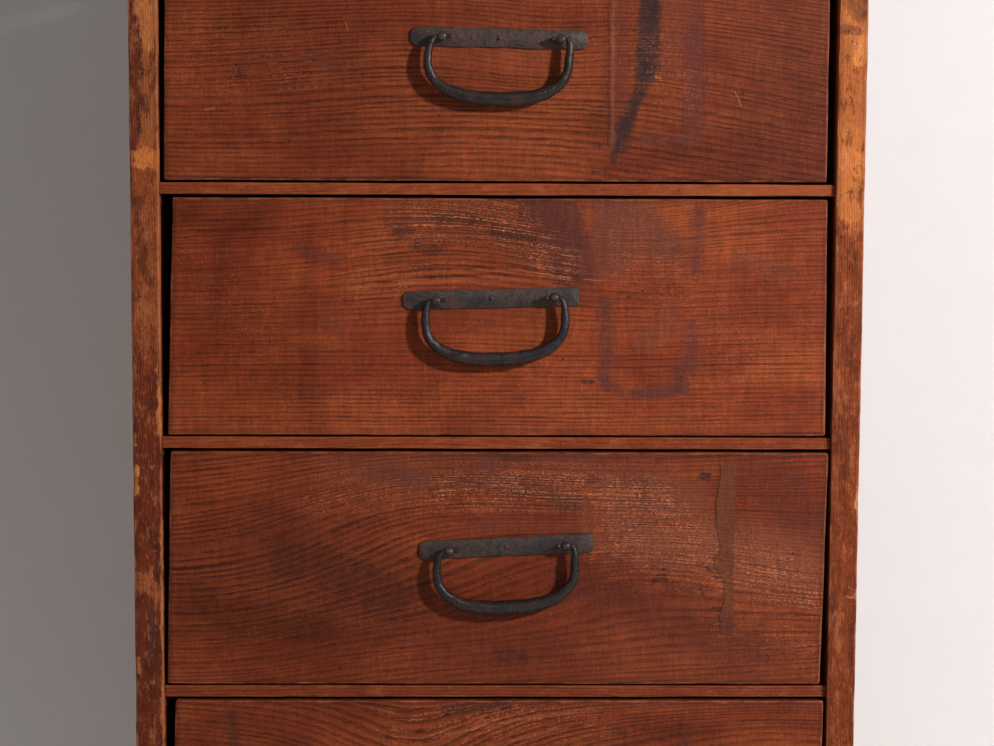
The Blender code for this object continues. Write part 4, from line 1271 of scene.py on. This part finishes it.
def make_plate(level, material):
    slip = HANDLE_PLACES[level][3]
    half = np.array((PLATE_LENGTH / 2, PLATE_HEIGHT / 2))
    outline = np.array(plate_outline(level))
    flat = np.column_stack((outline[:, 0], np.zeros(len(outline)), outline[:, 1]))
    bite = 0.00022 * (1 + ripple(flat, 0.012, 400 + level))
    inward = -outline / half
    inward[:, 0] = np.where(np.abs(outline[:, 0]) > half[0] - 0.004, inward[:, 0], 0)
    edge = outline + inward * bite[:, None]
    back_y = PIVOT_STANDOFF - FIT
    front_y = back_y - PLATE_THICKNESS
    soft = 0.00035
    rows = [(back_y, 0.0), (front_y + soft, 0.0), (front_y + soft * 0.35, soft * 0.3), (front_y, soft)]
    points = []
    for y, inset in rows:
        points.extend((x + slip, y, z) for x, z in edge * (1 - inset * (1 / half)))
    faces = skin(len(rows), len(edge))
    name = f"forged_plate_{level + 1}"
    forged(name, level, (points, faces), material, f"drawer_{level + 1}", "plate", angle=35)


def make_nail(level, material):
    slip = HANDLE_PLACES[level][3]
    y = PIVOT_STANDOFF - PLATE_THICKNESS - 2 * FIT
    rise, wide = NAIL_HEAD_RISE, NAIL_HEAD_RADIUS
    rings = ((-rise, 0.25), (-rise * 0.96, 0.5), (-rise * 0.8, 0.76), (-rise * 0.4, 0.95),
             (0, 1.0), (0.0005, 0.9))
    count = 20
    points = []
    for deep, share in rings:
        for j in range(count):
            angle = 2 * math.pi * j / count
            reach = wide * share * (1 - 0.05 * (1 + math.sin(3 * angle + level)))
            points.append((slip + reach * math.cos(angle), y + deep, reach * math.sin(angle)))
    faces = skin(len(rings), count, backwards=True)
    forged(f"forged_nail_{level + 1}", level, (points, faces), material, f"drawer_{level + 1}", "nail")


def make_pulls():
    bar = iron_material("bail_iron", tint(42, 37, 36), 5.0, 0.24, 0.25)
    eye = iron_material("eye_iron", tint(68, 56, 52), 7.0, 0.33, 0.5)
    strip = iron_material("plate_iron", tint(65, 53, 50), 9.0, 0.44, 0.5)
    for level in range(DRAWERS):
        make_plate(level, strip)
        make_nail(level, eye)
        make_posts(level, eye)
        make_bail(level, bar)


# Stage, lamps and camera.


def stage_sheet(name, corners, colour, seed):
    """A floor or wall that is seen from its front only, so that views from behind look through it."""
    s = Shading(name)
    place = s.vector("ADD", s.place(), (seed, seed, seed))
    cloud = s.noise(place, 2.6, 4.0, 0.6)
    grain = s.noise(place, 38.0, 4.0, 0.65)
    shade = s.add(0.955, s.times(cloud, 0.05), s.times(grain, 0.035))
    s.surface({"Base Color": s.shade(colour, shade), "Roughness": 0.9, "Specular IOR Level": 0.1,
               "Normal": s.bump(s.add(cloud, s.times(grain, 0.3)), 0.002, 0.5)})
    clear = s.node("BsdfTransparent")
    pick = s.node("MixShader")
    behind = s.node("NewGeometry").outputs["Backfacing"]
    for socket, value in zip(pick.inputs, (behind, s.shader.outputs[0], clear.outputs[0])):
        s.feed(socket, value)
    s.feed(s.output.inputs["Surface"], pick.outputs[0])
    sheet = meshed(name, corners, [(0, 1, 2, 3)], s.material)
    return sheet


def make_stage():
    x, y, low, top = STAGE_HALF_WIDTH, STAGE_HALF_DEPTH, -STAGE_DROP, WALL_HEIGHT
    stage_sheet("floor", [(-x, -y, low), (x, -y, low), (x, y, low), (-x, y, low)],
                tint(226, 223, 219), 2.0)
    wall = stage_sheet("wall", [(-x, WALL_Y, 0), (x, WALL_Y, 0), (x, WALL_Y, top), (-x, WALL_Y, top)],
                       tint(241, 242, 244), 6.0)
    wall.visible_shadow = False
    # Two flags at the chest's left end, above it and behind it, that only the lamps' rays meet. They
    # keep the wall on the left as dark as it is in the photograph.
    x, high = -CHEST_WIDTH / 2, CHEST_HEIGHT + FLAG_RISE
    for number, near, low in ((1, FRONT_Y, CHEST_HEIGHT), (2, REAR_Y + 0.002, CHEST_HEIGHT - 0.2)):
        corners = [(x, near, high), (x, WALL_Y, high), (x, WALL_Y, low), (x, near, low)]
        flag = stage_sheet(f"flag_{number}", corners, tint(30, 30, 30), 0.0)
        flag.visible_camera = False
        flag.visible_diffuse = False
        flag.visible_glossy = False
        flag.visible_transmission = False


def add_area_lamp(name, place, target, size, power, colour):
    data = bpy.data.lights.new(name, "AREA")
    data.shape = "DISK"
    data.size = size
    data.energy = power
    data.color = colour
    lamp = linked(name, data)
    lamp.location = place
    lamp.rotation_mode = "QUATERNION"
    lamp.rotation_quaternion = (Vector(target) - Vector(place)).to_track_quat("-Z", "Y")


def make_lamps():
    target = Vector((0.0, FRONT_Y, 0.53))
    turn, rise = math.radians(KEY_TURN), math.radians(KEY_RISE)
    way = Vector((math.sin(turn) * math.cos(rise), -math.cos(turn) * math.cos(rise), math.sin(rise)))
    place = target + way * KEY_DISTANCE
    add_area_lamp("key_lamp", place, target, KEY_SIZE, KEY_POWER, (1.0, 0.955, 0.94))
    for name, place, power in BACK_LAMPS:
        add_area_lamp(name, place, (0, 0, 0.4), 1.0, power, (1.0, 0.99, 0.98))
    world = bpy.data.worlds.new("studio")
    bpy.context.scene.world = world
    world.use_nodes = True
    tree = world.node_tree
    glow = tree.nodes["Background"]
    glow.inputs["Color"].default_value = (0.985, 0.99, 0.98, 1.0)
    glow.inputs["Strength"].default_value = WORLD_STRENGTH
    seen = tree.nodes.new("ShaderNodeBackground")
    seen.inputs["Color"].default_value = (0.56, 0.555, 0.55, 1.0)
    rays = tree.nodes.new("ShaderNodeLightPath")
    either = rays.outputs["Is Camera Ray"]
    for word in ("Is Glossy Ray", "Is Transmission Ray"):
        most = tree.nodes.new("ShaderNodeMath")
        most.operation = "MAXIMUM"
        tree.links.new(either, most.inputs[0])
        tree.links.new(rays.outputs[word], most.inputs[1])
        either = most.outputs[0]
    pick = tree.nodes.new("ShaderNodeMixShader")
    for socket, output in zip(pick.inputs, (either, glow.outputs[0], seen.outputs[0])):
        tree.links.new(output, socket)
    tree.links.new(pick.outputs[0], tree.nodes["World Output"].inputs["Surface"])


def make_camera():
    """The camera that took the photograph, found by fitting the chest's edges to it."""
    yaw, pitch, roll = (math.radians(angle) for angle in CAMERA_TURNS)
    level_right = Vector((math.cos(yaw), -math.sin(yaw), 0))
    ahead = Vector((math.cos(pitch) * math.sin(yaw), math.cos(pitch) * math.cos(yaw), -math.sin(pitch)))
    level_up = level_right.cross(ahead)
    right = math.cos(roll) * level_right + math.sin(roll) * level_up
    up = right.cross(ahead)
    data = bpy.data.cameras.new("camera")
    data.lens = 80
    data.sensor_width = 36
    data.clip_start = 0.05
    camera = linked("camera", data)
    turn = Matrix((right, up, -ahead)).transposed().to_4x4()
    camera.matrix_world = Matrix.Translation(CAMERA_PLACE) @ turn
    bpy.context.scene.camera = camera
    bpy.context.scene.view_settings.view_transform = "Standard"


make_camera()
make_stage()
make_lamps()
make_carcass()
for drawer_level in range(DRAWERS):
    make_front(drawer_level)
make_drawer_boxes()
make_pulls()
